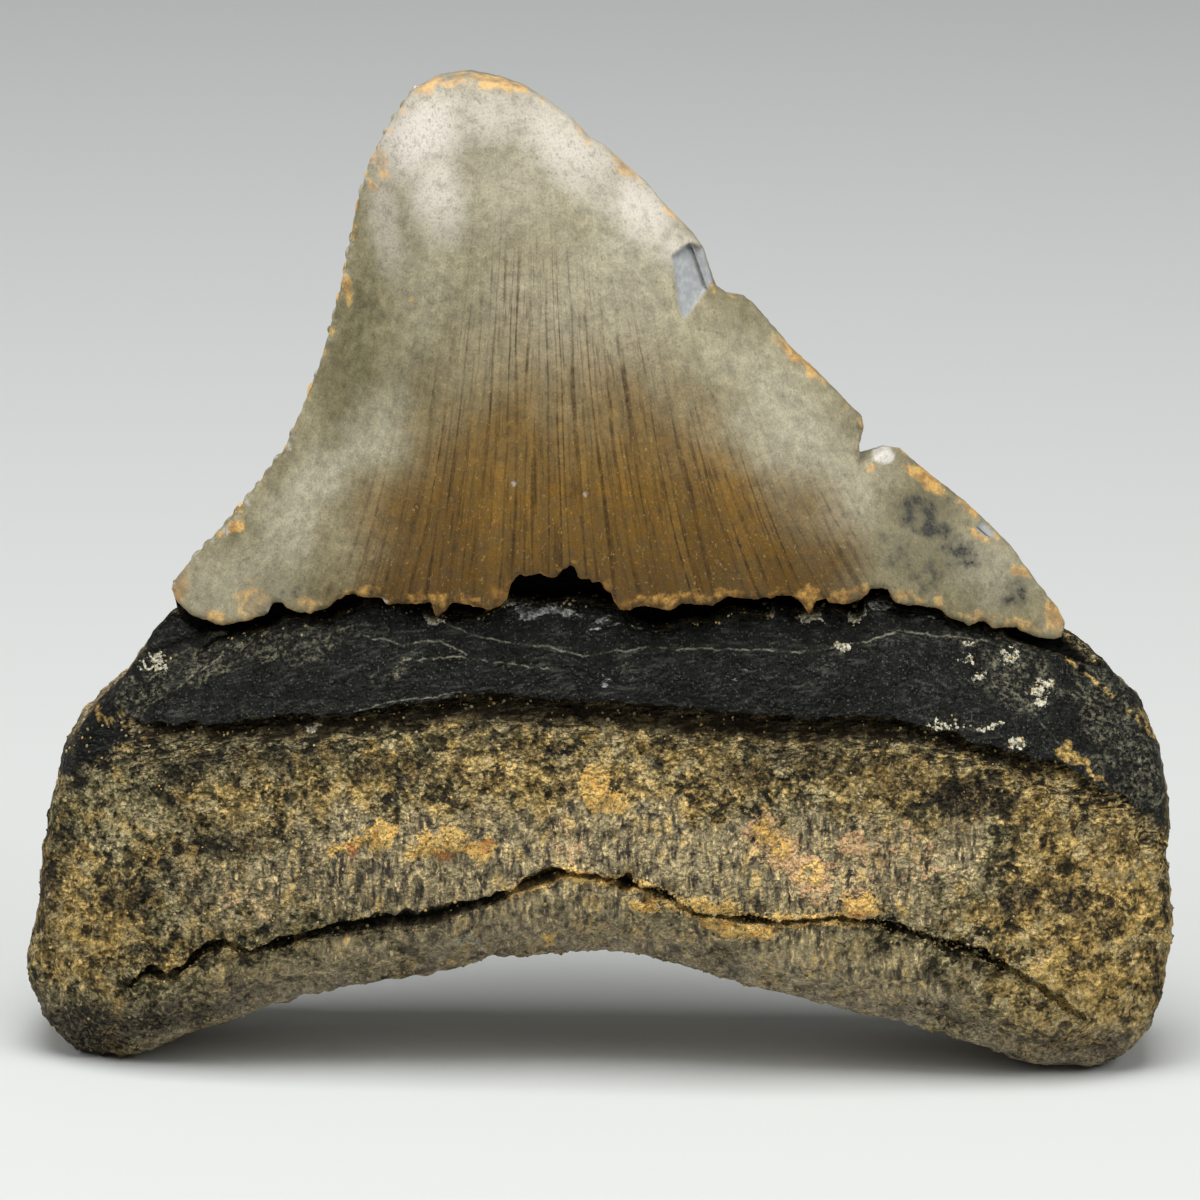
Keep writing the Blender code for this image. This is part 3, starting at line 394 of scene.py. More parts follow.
# White chips, and painted glints on the serrations of the left cutting edge.
CROWN_WHITE_AND_GLINT = [
    (14.5, 32.05, 0.6, 0.32, -10, 0.8), (-4.7, 31.6, 0.12, 0.1, 30, 0.5),
    (-1.0, 31.2, 0.1, 0.12, 0, 0.4), (-17.35, 23.85, 0.2, 0.2, 0, 0.8),
    (-11.35, 25.0, 0.15, 0.14, 0, 0.9), (-16.6, 32.0, 0.16, 0.25, 30, 0.4),
    (-18.8, 29.0, 0.14, 0.25, 40, 0.4), (-19.8, 27.4, 0.16, 0.2, 45, 0.4),
]
CHIPS = [
    [(3.25, 42.7), (4.2, 43.2), (4.95, 42.8), (5.5, 41.2), (5.2, 40.9), (3.95, 39.5), (3.6, 40.3)],
    [(19.3, 28.1), (19.7, 28.5), (20.5, 27.8), (20.1, 27.5)],
]
CHIP_DEPTHS = (0.5, 0.22)


# Colours and small helpers.
def shade(red, green, blue):
    """Linear colour from the usual 0 to 255 values."""
    parts = [value / 255.0 for value in (red, green, blue)]
    return tuple(p / 12.92 if p <= 0.04045 else ((p + 0.055) / 1.055) ** 2.4 for p in parts)


def rise(low, high, value):
    """Smooth rise from 0 at low to 1 at high."""
    share = np.clip((value - low) / (high - low), 0.0, 1.0)
    return share * share * (3.0 - 2.0 * share)


def mix(first, second, share):
    """Between two values, by a share of the way."""
    return first + (second - first) * share


def height_on(line, x):
    """Height of a line that runs from left to right."""
    return np.interp(x, [point[0] for point in line], [point[1] for point in line])


def softened(line, place, reach):
    """Height of a line, averaged over a neighbourhood of the place."""
    offsets = np.linspace(-reach, reach, 7)
    return sum(height_on(line, place + offset) for offset in offsets) / len(offsets)


def uneven(x, z, size, octaves=4, layer=0.0):
    """Fractal unevenness on the face, mostly between -1 and 1."""
    places = zip((x / size).tolist(), (z / size).tolist())
    return np.array([noise.fractal((a, b, layer), 1.0, 2.0, octaves) for a, b in places])


def uneven_in_space(places, size, octaves=4):
    """Fractal unevenness at points in space; size is one value, or one for each axis."""
    return np.array([noise.fractal(place, 1.0, 2.0, octaves) for place in (places / size).tolist()])


def evenly(points, step=None, count=None):
    """The same line with its points evenly spaced."""
    line = np.array(points, dtype=float)
    travelled = np.concatenate([[0.0], np.cumsum(np.hypot(*np.diff(line[:, :2], axis=0).T))])
    count = count or int(travelled[-1] / step) + 2
    places = np.linspace(0.0, travelled[-1], count)
    return np.column_stack([np.interp(places, travelled, column) for column in line.T])


def jagged(points, step, size, amount, layer):
    """A line from left to right with small breaks along it."""
    line = evenly(points, step)
    ends = rise(0.0, 0.06, np.linspace(0.0, 1.0, len(line)))
    ends *= rise(0.0, 0.06, np.linspace(1.0, 0.0, len(line)))
    line[:, 1] += amount * ends * uneven(line[:, 0], 0.0 * line[:, 0], size, 5, layer)
    return line


def shaken(points, step, size, amount, layer):
    """A line with fine zigzags in both directions."""
    line = evenly(points, step)
    line[:, 0] += amount * uneven(line[:, 0], line[:, 1], size, 3, layer)
    line[:, 1] += amount * uneven(line[:, 0], line[:, 1], size, 3, layer + 5.0)
    return line


def inside(loop, x, z):
    """True for the points that lie inside the closed loop."""
    crossed = np.zeros(np.shape(x), dtype=bool)
    for (x0, z0), (x1, z1) in zip(loop, np.roll(loop, -1, axis=0)):
        if z0 != z1:
            crossed ^= ((z0 > z) != (z1 > z)) & (x < x0 + (z - z0) * (x1 - x0) / (z1 - z0))
    return crossed


def away_from(line, x, z, reach=2.5):
    """Distance from each point to a line, and the line's third value at the nearest place."""
    line = np.array([tuple(point) + (0.0,) * (3 - len(point)) for point in line])
    (low_x, low_z), (high_x, high_z) = line[:, :2].min(axis=0), line[:, :2].max(axis=0)
    near = (x > low_x - reach) & (x < high_x + reach) & (z > low_z - reach) & (z < high_z + reach)
    best = np.full(np.shape(x), 1e9)
    value = np.zeros(np.shape(x))
    best[near], value[near] = nearest_on(line, x[near], z[near])
    return best, value


def nearest_on(line, x, z):
    """Distance to the nearest piece of a line, and the third value there."""
    best = np.full(np.shape(x), 1e9)
    value = np.zeros(np.shape(x))
    for (x0, z0, v0), (x1, z1, v1) in zip(line, line[1:]):
        run, climb = x1 - x0, z1 - z0
        square = max(run * run + climb * climb, 1e-9)
        share = np.clip(((x - x0) * run + (z - z0) * climb) / square, 0, 1)
        away = np.hypot(x - x0 - share * run, z - z0 - share * climb)
        value = np.where(away < best, mix(v0, v1, share), value)
        best = np.minimum(best, away)
    return best, value


def marked(marks, x, z, softness=0.35):
    """Strength of the marks at each point, between 0 and 1."""
    total = np.zeros(np.shape(x))
    for centre_x, centre_z, half_x, half_z, turn, strength in marks:
        c, s = cos(radians(turn)), sin(radians(turn))
        along = (x - centre_x) * c + (z - centre_z) * s
        over = (z - centre_z) * c - (x - centre_x) * s
        reach = np.hypot(along / half_x, over / half_z)
        total = np.maximum(total, strength * (1.0 - rise(1.0 - softness, 1.0 + softness, reach)))
    return total


# The tooth's faces, as depths over the outline.
def place_on_face(x, z):
    """Share across the tooth from its middle, share up the root and share up the crown."""
    left = softened(SIDE_LEFT, z, 1.0)
    right = softened(SIDE_RIGHT, z, 1.0)
    half_width = np.maximum(0.5 * (right - left), 0.5)
    across = np.minimum(np.abs(x - 0.5 * (left + right)) / half_width, 1.0)
    arch = softened(ARCH[::-1], x, 1.0)
    neck = softened(NECK_LINE, x, 1.5)
    up_root = np.clip((z - arch) / (neck - arch), 0.0, 1.0)
    up_crown = np.clip((z - neck) / (TIP_HEIGHT - neck), 0.0, 1.0)
    return across, up_root, up_crown


def root_section(across, up_root):
    """How full the root is across its width, and the plane and half thickness of its ends."""
    bar = (1.0 - across ** 8) ** 0.5 * (1.0 - END_THINNING * across ** 2)
    lens = 1.0 - across ** 1.8
    below_neck = rise(0.0, 0.35, 1.0 - up_root)
    plane = mix(CUTTING_PLANE, ROOT_END_PLANE, below_neck)
    half = mix(CUTTING_HALF, ROOT_HALF, below_neck)
    return mix(lens, bar, below_neck), plane, half


def root_front(across, up_root):
    share, plane, half = root_section(across, up_root)
    climb = up_root / SWELL_PLACE
    swell = ROOT_LIP + ROOT_SWELL * climb * np.exp(1.0 - climb)
    edge = plane - half
    return edge - (swell + edge) * share


def root_back(across, up_root):
    share, plane, half = root_section(across, up_root)
    depth = ROOT_BACK - BASAL_TUCK * (1.0 - rise(0.0, 0.3, up_root))
    edge = plane + half
    return edge + (depth - edge) * share


def crown_half(up_crown):
    return mix(CUTTING_HALF, TIP_HALF, rise(0.8, 1.0, up_crown))


def crown_front(across, up_crown):
    edge = CUTTING_PLANE - crown_half(up_crown)
    belly = CROWN_BELLY * (1.0 - up_crown ** 1.5)
    return edge - (belly + edge) * (1.0 - across ** 1.8)


def crown_back(across, up_crown):
    edge = CUTTING_PLANE + crown_half(up_crown)
    depth = mix(CROWN_BACK, CUTTING_PLANE + TIP_BACK + TIP_HALF, up_crown)
    return edge + (depth - edge) * (1.0 - across ** 2.4)


def lumps(x, z, layer):
    """Low, smooth unevenness of the root's surface, with smaller lumps on the larger ones."""
    places = [Vector((a, b, layer)) for a, b in zip(x / LUMP_SIZE, z / LUMP_SIZE)]
    return LUMP_HEIGHT * np.array([noise.noise(at) + 0.5 * noise.noise(at * 2.3) for at in places])


LIP = jagged(ENAMEL_EDGE, 0.08, 0.22, 0.05, 3.0)
CREST = jagged(BAND_TOP, 0.1, 0.4, 0.06, 11.0)
CREST[:, 1] = np.minimum(CREST[:, 1] - 0.2, height_on(LIP, CREST[:, 0]) - 0.15)
SOLE = jagged(BAND_FOOT, 0.12, 1.1, 0.2, 17.0)
HAIR_PATHS = [shaken(line, 0.13, 0.4, 0.09, 43.0) for line in HAIRLINES]
SEAM = shaken(SEAM, 0.13, 0.5, 0.12, 45.0)
CRACK = shaken(CRACK, 0.13, 0.8, 0.07, 47.0)
CRACK[:, 2] *= 1.35 + 0.7 * uneven(CRACK[:, 0], CRACK[:, 1], 0.6, 3, 49.0)


def groove(line, x, z, depth):
    """Depth of an open crack that follows a line, and how strongly its painted shade shows."""
    away, half_width = away_from(line, x, z)
    share = np.clip(1.0 - (away / np.maximum(half_width, 0.05)) ** 2, 0.0, 1.0)
    return depth * share ** 0.5, share


def inner_face(x, z, shape):
    """Depth of the root's inner face, and how strongly each of its finishes shows."""
    across, up_root, _ = place_on_face(x, z)
    free = rise(0.0, 0.25, 1.0 - across)
    crest = height_on(CREST, x)
    sole = height_on(SOLE, x)
    up_band = np.clip((z - sole) / (crest - sole), 0.0, 1.0)
    in_gap = z > crest + 0.03
    on_band = (z > sole - 0.03) & ~in_gap
    band = -BAND_STEP * (1.0 - up_band) - BAND_CROWN * np.sin(pi * up_band)
    band += 0.18 * rise(0.25, 0.0, crest - z) + 0.1 * rise(0.18, 0.0, z - sole)
    strip = height_on(STRIP_FOOT, x) + 0.25 * uneven(x, z, 1.2, 4, 13.0)
    under = rise(-0.3, 0.25, z - strip) * ~on_band * ~in_gap
    relief = np.where(on_band, band, STRIP_DEPTH * under)
    relief = np.where(in_gap, shape.gap_depth, relief)
    crack, crack_share = groove(CRACK, x, z, shape.crack_depth)
    crack_share *= rise(0.06, 0.15, away_from(CRACK, x, z)[1])
    for line in SPLITS:
        split, split_share = groove(line, x, z, 0.5)
        crack = np.maximum(crack, split)
        crack_share = np.maximum(crack_share, split_share)
    spots = 0.3 * marked(BAND_CHALK, x, z, 0.6) * np.clip(uneven(x, z, 0.7, 4, 23.0), -0.6, 0.3)
    spots -= 0.35 * marked(ROOT_CAKES, x, z, 0.3) * (1.0 + 0.5 * uneven(x, z, 0.6, 4, 27.0))
    for spot_x, spot_z, radius, spot_depth in SPOTS:
        spots += spot_depth * np.exp(-2.0 * (np.hypot(x - spot_x, z - spot_z) / radius) ** 2)
    ledge = LEDGE_FRONT * rise(0.7, 1.0, up_root)
    relief = relief + ledge + crack + spots + lumps(x, z, 0.0) + 0.1
    shares = inner_shares(x, z, in_gap, on_band, under)
    # Painted shade: near-black colour in the gap above the band, in the cracks and in the band's pit.
    hollow = np.maximum(np.where(in_gap, 1.0, 0.0) * rise(0.0, 0.08, free), crack_share ** 0.5)
    shares["hollow"] = np.maximum(hollow, marked([BAND_PIT], x, z))
    return root_front(across, up_root) + relief * free, shares


def inner_shares(x, z, in_gap, on_band, under):
    """How strongly the finishes of the inner face show, besides the painted shade of its hollows."""
    hairline = np.zeros(np.shape(x))
    for line in HAIR_PATHS:
        hairline = np.maximum(hairline, 1.0 - rise(0.0, 1.3 * HAIR_HALF, away_from(line, x, z)[0]))
    seam = rise(1.9 * HAIR_HALF, 0.8 * HAIR_HALF, away_from(SEAM, x, z)[0])
    crust = 0.62 * rise(0.55, 0.3, away_from(CRACK, x, z)[0]) * rise(-7.0, -3.0, x) * rise(15.0, 13.0, x)
    wobble_x = x + 0.35 * uneven(x, z, 0.8, 3, 5.0)
    wobble_z = z + 0.3 * uneven(x, z, 0.8, 3, 9.0)
    drift_x = x + 2.0 * uneven(x, z, 2.4, 3, 2.0)
    drift_z = z + 1.7 * uneven(x, z, 2.0, 3, 4.0)
    patchy = np.clip(0.55 + 0.6 * uneven(x, z, 2.4, 3, 43.0), 0.1, 0.9)
    tail = inside(BAND_TAIL, wobble_x, wobble_z) & ~in_gap
    return {
        "dark_band": np.where((on_band & (wobble_x > -27.0)) | tail, 1.0, 0.0),
        # dark brown strip below the band, partly painted shade under the band's overhang
        "strip": under * rise(-25.5, -23.0, x) * (1.0 - rise(20.0, 26.0, x)),
        "layered": rise(3.4, 0.4, height_on(SOLE, x) - z + 0.8 * uneven(x, z, 2.5, 3, 15.0)) * ~on_band,
        "fibre": marked(ROOT_FIBRE, drift_x, drift_z, 0.8),
        "smooth": rise(4.6, 1.2, z - softened(ARCH[::-1], x, 1.0)) * patchy,
        "golden": marked(ROOT_GOLD, wobble_x, wobble_z, 0.8),
        "hairline": hairline * np.where(on_band, 1.0, 0.0),
        "rust": np.maximum.reduce([
            marked(ROOT_RUST, wobble_x, wobble_z), marked(ROOT_CAKES, wobble_x, wobble_z), crust]),
        "red": marked(ROOT_RED, wobble_x, wobble_z),
        "pink": marked(ROOT_PINK, wobble_x, wobble_z, 0.6),
        # grey stains, partly painted shade at the feet, the sides and below the band
        "grey": marked(ROOT_GREY_STAIN_AND_SHADE, wobble_x, wobble_z, 0.6),
        "pale": marked(ROOT_PALE, wobble_x, wobble_z, 0.25),
        "chalk": marked(BAND_CHALK, wobble_x, wobble_z, 0.3),
        "dust": marked(BAND_DUST, wobble_x, wobble_z, 0.7),
        "tan": np.maximum(0.8 * seam, 0.8 * marked(TAN_PATCHES, wobble_x, wobble_z)),
    }


def outer_face(x, z):
    """Depth of the root's outer face, and how strongly each of its finishes shows."""
    across, up_root, _ = place_on_face(x, z)
    free = rise(0.0, 0.25, 1.0 - across)
    edge = height_on(BACK_ENAMEL_EDGE, x)
    tucked = 0.35 * rise(-0.3, 0.6, z - edge) + 1.2 * rise(1.0, 5.0, z - edge)
    depth = root_back(across, up_root) + (lumps(x, z, 7.0) - LEDGE_BACK - 0.1 - tucked) * free
    nothing = np.zeros(np.shape(x))
    wobble = 0.8 * uneven(x, z, 1.6, 3, 21.0)
    shares = {name: nothing for name in (
        "hollow", "strip", "layered", "hairline", "red", "tan", "pale", "pink", "chalk", "dust")}
    shares["dark_band"] = 0.85 * rise(-2.6, -1.2, z - edge + wobble)
    shares["fibre"] = rise(16.6, 13.2, z + wobble)
    shares["rust"] = 0.6 * rise(0.45, 0.95, uneven(x, z, 3.0, 4, 31.0) + 0.2)
    shares["golden"] = 0.6 * rise(0.0, 0.8, uneven(x, z, 5.0, 3, 33.0) + 0.4)
    shares["grey"] = 0.5 * rise(0.25, 0.8, uneven(x, z, 5.0, 3, 37.0) + 0.2)
    shares["smooth"] = 0.6 * rise(-0.2, 0.5, uneven(x, z, 7.0, 3, 41.0))
    return depth, shares


# Meshes from faces and rims.
def set_in(loop, inset, reach):
    """The loop moved inwards, square to its run over the given number of points."""
    run = np.roll(loop, -reach, axis=0) - np.roll(loop, reach, axis=0)
    length = np.hypot(run[:, 0], run[:, 1])
    x, z = loop.T
    return np.column_stack([x + run[:, 1] / length * inset, z - run[:, 0] / length * inset])


def turn_radius(x, z):
    """How far the root's faces lie in from its outline."""
    _, up_root, up_crown = place_on_face(x, z)
    turn = mix(CUTTING_TURN, ROOT_TURN, rise(0.0, 0.2, 1.0 - up_root))
    return np.where(up_crown > 0.0, CUTTING_TURN, turn)


def grid_points(loop, step, seed):
    """Staggered, slightly shaken grid of points inside the loop."""
    low, high = loop.min(axis=0), loop.max(axis=0)
    rows = np.arange(low[1] + 0.5 * step, high[1], step * 0.866)
    x, z = np.meshgrid(np.arange(low[0], high[0], step), rows)
    x = x + 0.5 * step * (np.arange(len(rows)) % 2)[:, None]
    shake = np.random.default_rng(seed).uniform(-0.16, 0.16, (2, x.size)) * step
    x, z = x.ravel() + shake[0], z.ravel() + shake[1]
    kept = inside(loop, x, z)
    return np.column_stack([x[kept], z[kept]])


def filled_sheet(loop, lines, step, seed, thin_out=None):
    """Points and triangles that fill the loop and keep to the lines."""
    fixed = [tuple(point) for point in loop]
    edges = [(index, (index + 1) % len(loop)) for index in range(len(loop))]
    for line in lines:
        first = len(fixed)
        fixed.extend(tuple(point[:2]) for point in line)
        edges.extend((index, index + 1) for index in range(first, len(fixed) - 1))
    near = kdtree.KDTree(len(fixed))
    for index, point in enumerate(fixed):
        near.insert((point[0], point[1], 0.0), index)
    near.balance()
    grid = grid_points(loop, step, seed)
    if thin_out is not None:
        grid = grid[thin_out(grid[:, 0], grid[:, 1]) | (np.arange(len(grid)) % 9 == 0)]
    loose = [point for point in grid.tolist() if near.find((point[0], point[1], 0.0))[2] > 0.55 * step]
    points = [Vector(point) for point in fixed + loose]
    verts, _, faces = delaunay_2d_cdt(points, edges, [], 0, 1e-6, False)[:3]
    places = np.array([tuple(vert) for vert in verts])
    if not np.allclose(places[:len(loop)], loop, atol=1e-4):
        raise RuntimeError("the outline crosses itself")
    faces = np.array(faces)
    a, b, c = (places[faces[:, corner]] for corner in range(3))
    area = np.abs((b[:, 0] - a[:, 0]) * (c[:, 1] - a[:, 1]) - (c[:, 0] - a[:, 0]) * (b[:, 1] - a[:, 1]))
    middle = (a + b + c) / 3.0
    kept = (area > 1e-7) & inside(loop, middle[:, 0], middle[:, 1])
    return places, faces[kept]


def line_within(line, loop, margin):
    """The points of a line that lie inside the loop, clear of its border."""
    line = np.array(line)
    closed = np.vstack([loop, loop[:1]])[::4]
    away, _ = away_from(closed, line[:, 0], line[:, 1])
    return line[inside(loop, line[:, 0], line[:, 1]) & (away > margin)]


def beside(line, offsets):
    """Copies of a line with widths, moved sideways by shares of its half width."""
    run = np.gradient(line[:, :2], axis=0)
    length = np.hypot(run[:, 0], run[:, 1])
    side = np.column_stack([-run[:, 1], run[:, 0]]) / length[:, None]
    return [line[:, :2] + side * (line[:, 2] * offset)[:, None] for offset in offsets]


def turned_faces(places, faces, towards_back):
    """Triangles in the order that makes them face the front or the back."""
    a, b, c = (places[faces[:, corner]] for corner in range(3))
    over = (b[:, 1] - a[:, 1]) * (c[:, 0] - a[:, 0]) - (b[:, 0] - a[:, 0]) * (c[:, 1] - a[:, 1])
    wrong = (over > 0.0) != towards_back
    turned = faces.copy()
    turned[wrong] = faces[wrong][:, ::-1]
    return turned


def closed_shape(front, back, rows):
    """One closed surface: two faces, and rows of points that lead from one border to the other."""
    (front_places, front_faces), (back_places, back_faces) = front, back
    count = rows.shape[1]
    start = len(front_places) + len(back_places)
    middle = start + np.arange(rows.shape[0] * count).reshape(rows.shape[0], count)
    ring = np.vstack([np.arange(count)[None], middle, len(front_places) + np.arange(count)[None]])
    after = np.roll(ring, -1, axis=1)
    a, b, c, d = (part.ravel() for part in (ring[:-1], after[:-1], after[1:], ring[1:]))
    faces = np.vstack([front_faces, back_faces + len(front_places),
                       np.column_stack([a, b, c]), np.column_stack([a, c, d])])
    places = np.vstack([front_places, back_places, rows.reshape(-1, 3)])
    used, faces = np.unique(faces, return_inverse=True)
    return places[used], faces.reshape(-1, 3), used


def outward(places, faces):
    """Direction in which the surface faces at each point."""
    a, b, c = (places[faces[:, corner]] for corner in range(3))
    across = np.cross(b - a, c - a)
    total = np.zeros_like(places)
    for corner in range(3):
        for axis in range(3):
            total[:, axis] += np.bincount(faces[:, corner], across[:, axis], len(places))
    return total / np.maximum(np.linalg.norm(total, axis=1, keepdims=True), 1e-12)


def kept_in_box(places):
    """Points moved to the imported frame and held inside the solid's box."""
    moved = places + np.array([0.0, DEPTH_SHIFT, 0.0])
    moved[:, 2] = np.where(moved[:, 2] < FOOT_LEVEL, 0.0, moved[:, 2])
    held = np.clip(moved, LOWEST + BOX_MARGIN, HIGHEST - BOX_MARGIN)
    held[moved[:, 2] <= 0.0, 2] = 0.0
    return held


def add_piece(name, mesh, material):
    """A finished piece that stands for the solid, with the material given."""
    mesh.materials.clear()
    mesh.materials.append(material)
    piece = bpy.data.objects.new(name, mesh)
    bpy.context.scene.collection.objects.link(piece)
    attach(piece, BODY)
    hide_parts(NODE)
    return piece


def meshed(name, places, faces, shares):
    """A smooth mesh with one value at each point for every named share."""
    mesh = bpy.data.meshes.new(name)
    mesh.from_pydata((places * MM).tolist(), [], faces.tolist())
    for label, values in shares.items():
        kind = "FLOAT" if values.ndim == 1 else "FLOAT_VECTOR"
        data = mesh.attributes.new(label, kind, "POINT").data
        data.foreach_set("value" if values.ndim == 1 else "vector", values.astype(np.float32).ravel())
    mesh.shade_smooth()
    return mesh


def rounded_rows(outline, front, back, shares):
    """Rows of points that turn round the outline from the front border to the back border."""
    rows = []
    for share in shares:
        swell = (1.0 - abs(2.0 * share - 1.0) ** 4) ** 0.5
        flat = mix(front[:, [0, 2]], outline, swell)
        rows.append(np.column_stack([flat[:, 0], mix(front[:, 1], back[:, 1], share), flat[:, 1]]))
    return np.array(rows)


def weathered(places, faces, shares, amount):
    """The root's surface with its grain: pits and crumbs above, upright fibres below."""
    facing = outward(places, faces)
    grain = uneven_in_space(places, 0.85, 5)
    fibre = uneven_in_space(places + 40.0, np.array([0.3, 0.5, 1.5]), 3)
    broad = uneven_in_space(places + 90.0, 2.6, 3)
    pits = np.array([noise.voronoi(place)[0][0] for place in (places / 0.75).tolist()])
    pitted = rise(0.1, 0.5, broad) * rise(0.42, 0.12, pits)
    rough = mix(grain, 0.45 * grain + 0.75 * fibre, shares["fibre"])
    rough = mix(rough, 0.4 * grain, shares["dark_band"])
    rough = rough * (1.0 - 0.8 * shares["hollow"]) + 0.5 * broad
    relief = amount * (rough - 0.55) - 0.26 * pitted * (1.0 - shares["dark_band"])
    return places + facing * relief[:, None]


def root_lines(border):
    """Lines on the inner face that its steps and cracks follow."""
    crest, sole = CREST.copy(), SOLE.copy()
    lines = [crest, crest + np.array([0.0, 0.06]), sole, sole - np.array([0.0, 0.07])]
    for crack in [CRACK] + SPLITS:
        lines.extend(beside(evenly(crack, 0.12), (-1.08, -0.7, 0.0, 0.7, 1.08)))
    for path in HAIR_PATHS + [SEAM]:
        with_width = np.column_stack([path, np.full(len(path), HAIR_HALF)])
        lines.extend(beside(with_width, (-1.3, 0.0, 1.3)))
    return [line for line in (line_within(line, border, 0.3) for line in lines) if len(line) > 2]


def build_root(shape, colours):
    """Closed root, with the dark band, the gap above it and the crack across it."""
    outline = np.array(HIDDEN_TOP + ROOT_RIGHT + ARCH + ROOT_LEFT + HIDDEN_TOP[:1])
    outline = evenly(outline, shape.root_step)[:-1]
    smooth = sum(np.roll(outline, shift, axis=0) for shift in range(-4, 5)) / 9.0
    smooth[:, 1] = np.where(outline[:, 1] < 0.02, 0.0, smooth[:, 1])
    border = set_in(smooth, turn_radius(smooth[:, 0], smooth[:, 1]), 8)
    seen = lambda x, z: z < height_on(LIP, x) + 0.6
    front_flat, front_faces = filled_sheet(border, root_lines(border), shape.root_step, 3, seen)
    back_seen = lambda x, z: z < height_on(BACK_ENAMEL_EDGE, x) + 0.6
    back_flat, back_faces = filled_sheet(border, [], shape.back_step, 5, back_seen)
    front_depth, front_shares = inner_face(front_flat[:, 0], front_flat[:, 1], shape)
    back_depth, back_shares = outer_face(back_flat[:, 0], back_flat[:, 1])
    front = np.column_stack([front_flat[:, 0], front_depth, front_flat[:, 1]])
    back = np.column_stack([back_flat[:, 0], back_depth, back_flat[:, 1]])
    count = len(border)
    rows = rounded_rows(smooth, front[:count], back[:count], ROOT_TURNS)
    places, faces, used = closed_shape(
        (front, turned_faces(front_flat, front_faces, False)),
        (back, turned_faces(back_flat, back_faces, True)), rows)
    rim = rows.reshape(-1, 3)
    _, first = inner_face(rim[:, 0], rim[:, 2], shape)
    _, last = outer_face(rim[:, 0], rim[:, 2])
    turned = rise(0.15, 0.75, np.repeat(ROOT_TURNS, count) + 0.35 * uneven_in_space(rim, 2.0, 3))
    shares = {}
    for label in front_shares:
        turning = mix(first[label], last[label], turned)
        shares[label] = np.concatenate([front_shares[label], back_shares[label], turning])[used]
    places = weathered(places, faces, shares, shape.weathering)
    mesh = meshed("root", kept_in_box(places), faces, shares)
    return add_piece("root", mesh, root_material(colours))


def lip_rows(front, back, shape):
    """Rows that turn under the enamel's broken lip, up into the gap and down to the back edge."""
    thick = np.maximum(back[:, 1] - front[:, 1], 0.1)
    lip = np.minimum(shape.lip_thickness, 0.3 * thick)
    roof = shape.gap_height * np.minimum(thick / 3.0, 1.0)
    high = np.maximum(front[:, 2], back[:, 2])
    middle = mix(front, back, 0.5)

    def moved(places, deeper, higher):
        return places + np.column_stack([0.0 * lip, deeper * lip, higher + 0.0 * lip])

    return np.array([
        moved(front, 0.3, -0.05),
        moved(front, 0.75, -0.03),
        moved(front, 1.0, 0.06),
        moved(front, 1.3, 0.85 * roof),
        np.column_stack([middle[:, 0], middle[:, 1], high + roof]),
        moved(back, -1.3, 0.85 * roof),
        moved(back, -0.6, 0.02),
    ])


def crown_shares(x, z, lip_away, edge_away, is_back):
    """How strongly each finish of the enamel shows."""
    wobble_x = x + 0.3 * uneven(x, z, 1.0, 4, 51.0)
    wobble_z = z + 0.3 * uneven(x, z, 1.0, 4, 57.0)
    loose_x = x + 1.6 * uneven(x, z, 3.5, 3, 61.0)
    left = height_on(AMBER_LEFT, z)
    right = height_on(AMBER_RIGHT, z)
    amber = rise(-2.5, 3.5, loose_x - left) * rise(-2.5, 4.0, right - loose_x)
    streaked = amber * rise(47.0, 40.0, z)
    amber *= 0.14 * rise(48.0, 42.0, z) + 0.86 * rise(43.0, 30.0, z + 0.8 * (loose_x - x))
    ragged = np.clip(1.0 + 0.9 * uneven(x, z, 0.5, 3, 67.0), 0.3, 2.0)
    rim = 0.8 * rise(0.12, 0.02, lip_away / ragged)
    warm_lip = 0.25 * rise(0.45, 0.05, lip_away / ragged) * rise(0.0, 0.5, uneven(x, z, 1.3, 2, 69.0))
    worn_edge = rise(0.3, 0.1, edge_away) * rise(0.1, 0.45, uneven(x, z, 0.9, 3, 71.0))
    rust = marked(CROWN_RUST, wobble_x, wobble_z) * mix(0.42, 1.0, rise(0.2, 0.9, lip_away))
    smudge = marked(CROWN_SMUDGES, x + 2.2 * (wobble_x - x), z + 2.2 * (wobble_z - z), 0.8)
    white_and_glint = marked(CROWN_WHITE_AND_GLINT, x + 0.3 * (wobble_x - x), z + 0.3 * (wobble_z - z), 0.2)
    # Painted glints along the left cutting edge.
    glint = rise(0.35, 0.1, edge_away) * rise(0.15, 0.45, uneven(x, z, 0.5, 3, 77.0)) * (x < -9.0)
    front = np.where(is_back, 0.0, 1.0)
    mild = np.where(is_back, 0.5, 1.0)
    return {
        "amber": amber * mild,
        "streaked": streaked * mild,
        "low": 0.75 * rise(33.0, 25.0, z),
        "deep": marked(CROWN_DEEP, wobble_x, wobble_z, 0.8) * front,
        "rim": np.maximum(rim * mild, marked(CROWN_PEACH, wobble_x, wobble_z, 0.5) * front),
        "rust": np.maximum(front * np.maximum(rust, warm_lip), 0.4 * worn_edge),
        "smudge": 0.85 * smudge * front,
        # paler enamel, and painted highlight near the tip
        "pale": marked(CROWN_PALE_AND_SHEEN, loose_x, wobble_z, 0.8) * front,
        # whitish worn tip, partly painted highlight
        "frost_and_highlight": marked(CROWN_FROST_AND_HIGHLIGHT, wobble_x, wobble_z, 0.8) * mild,
        # white chips, with painted glints along the left edge
        "white_and_glint": np.maximum(white_and_glint * front, 0.25 * glint),
        "chipped": np.maximum.reduce([chip_share(chip, x, z) for chip in CHIPS]) * front,
    }


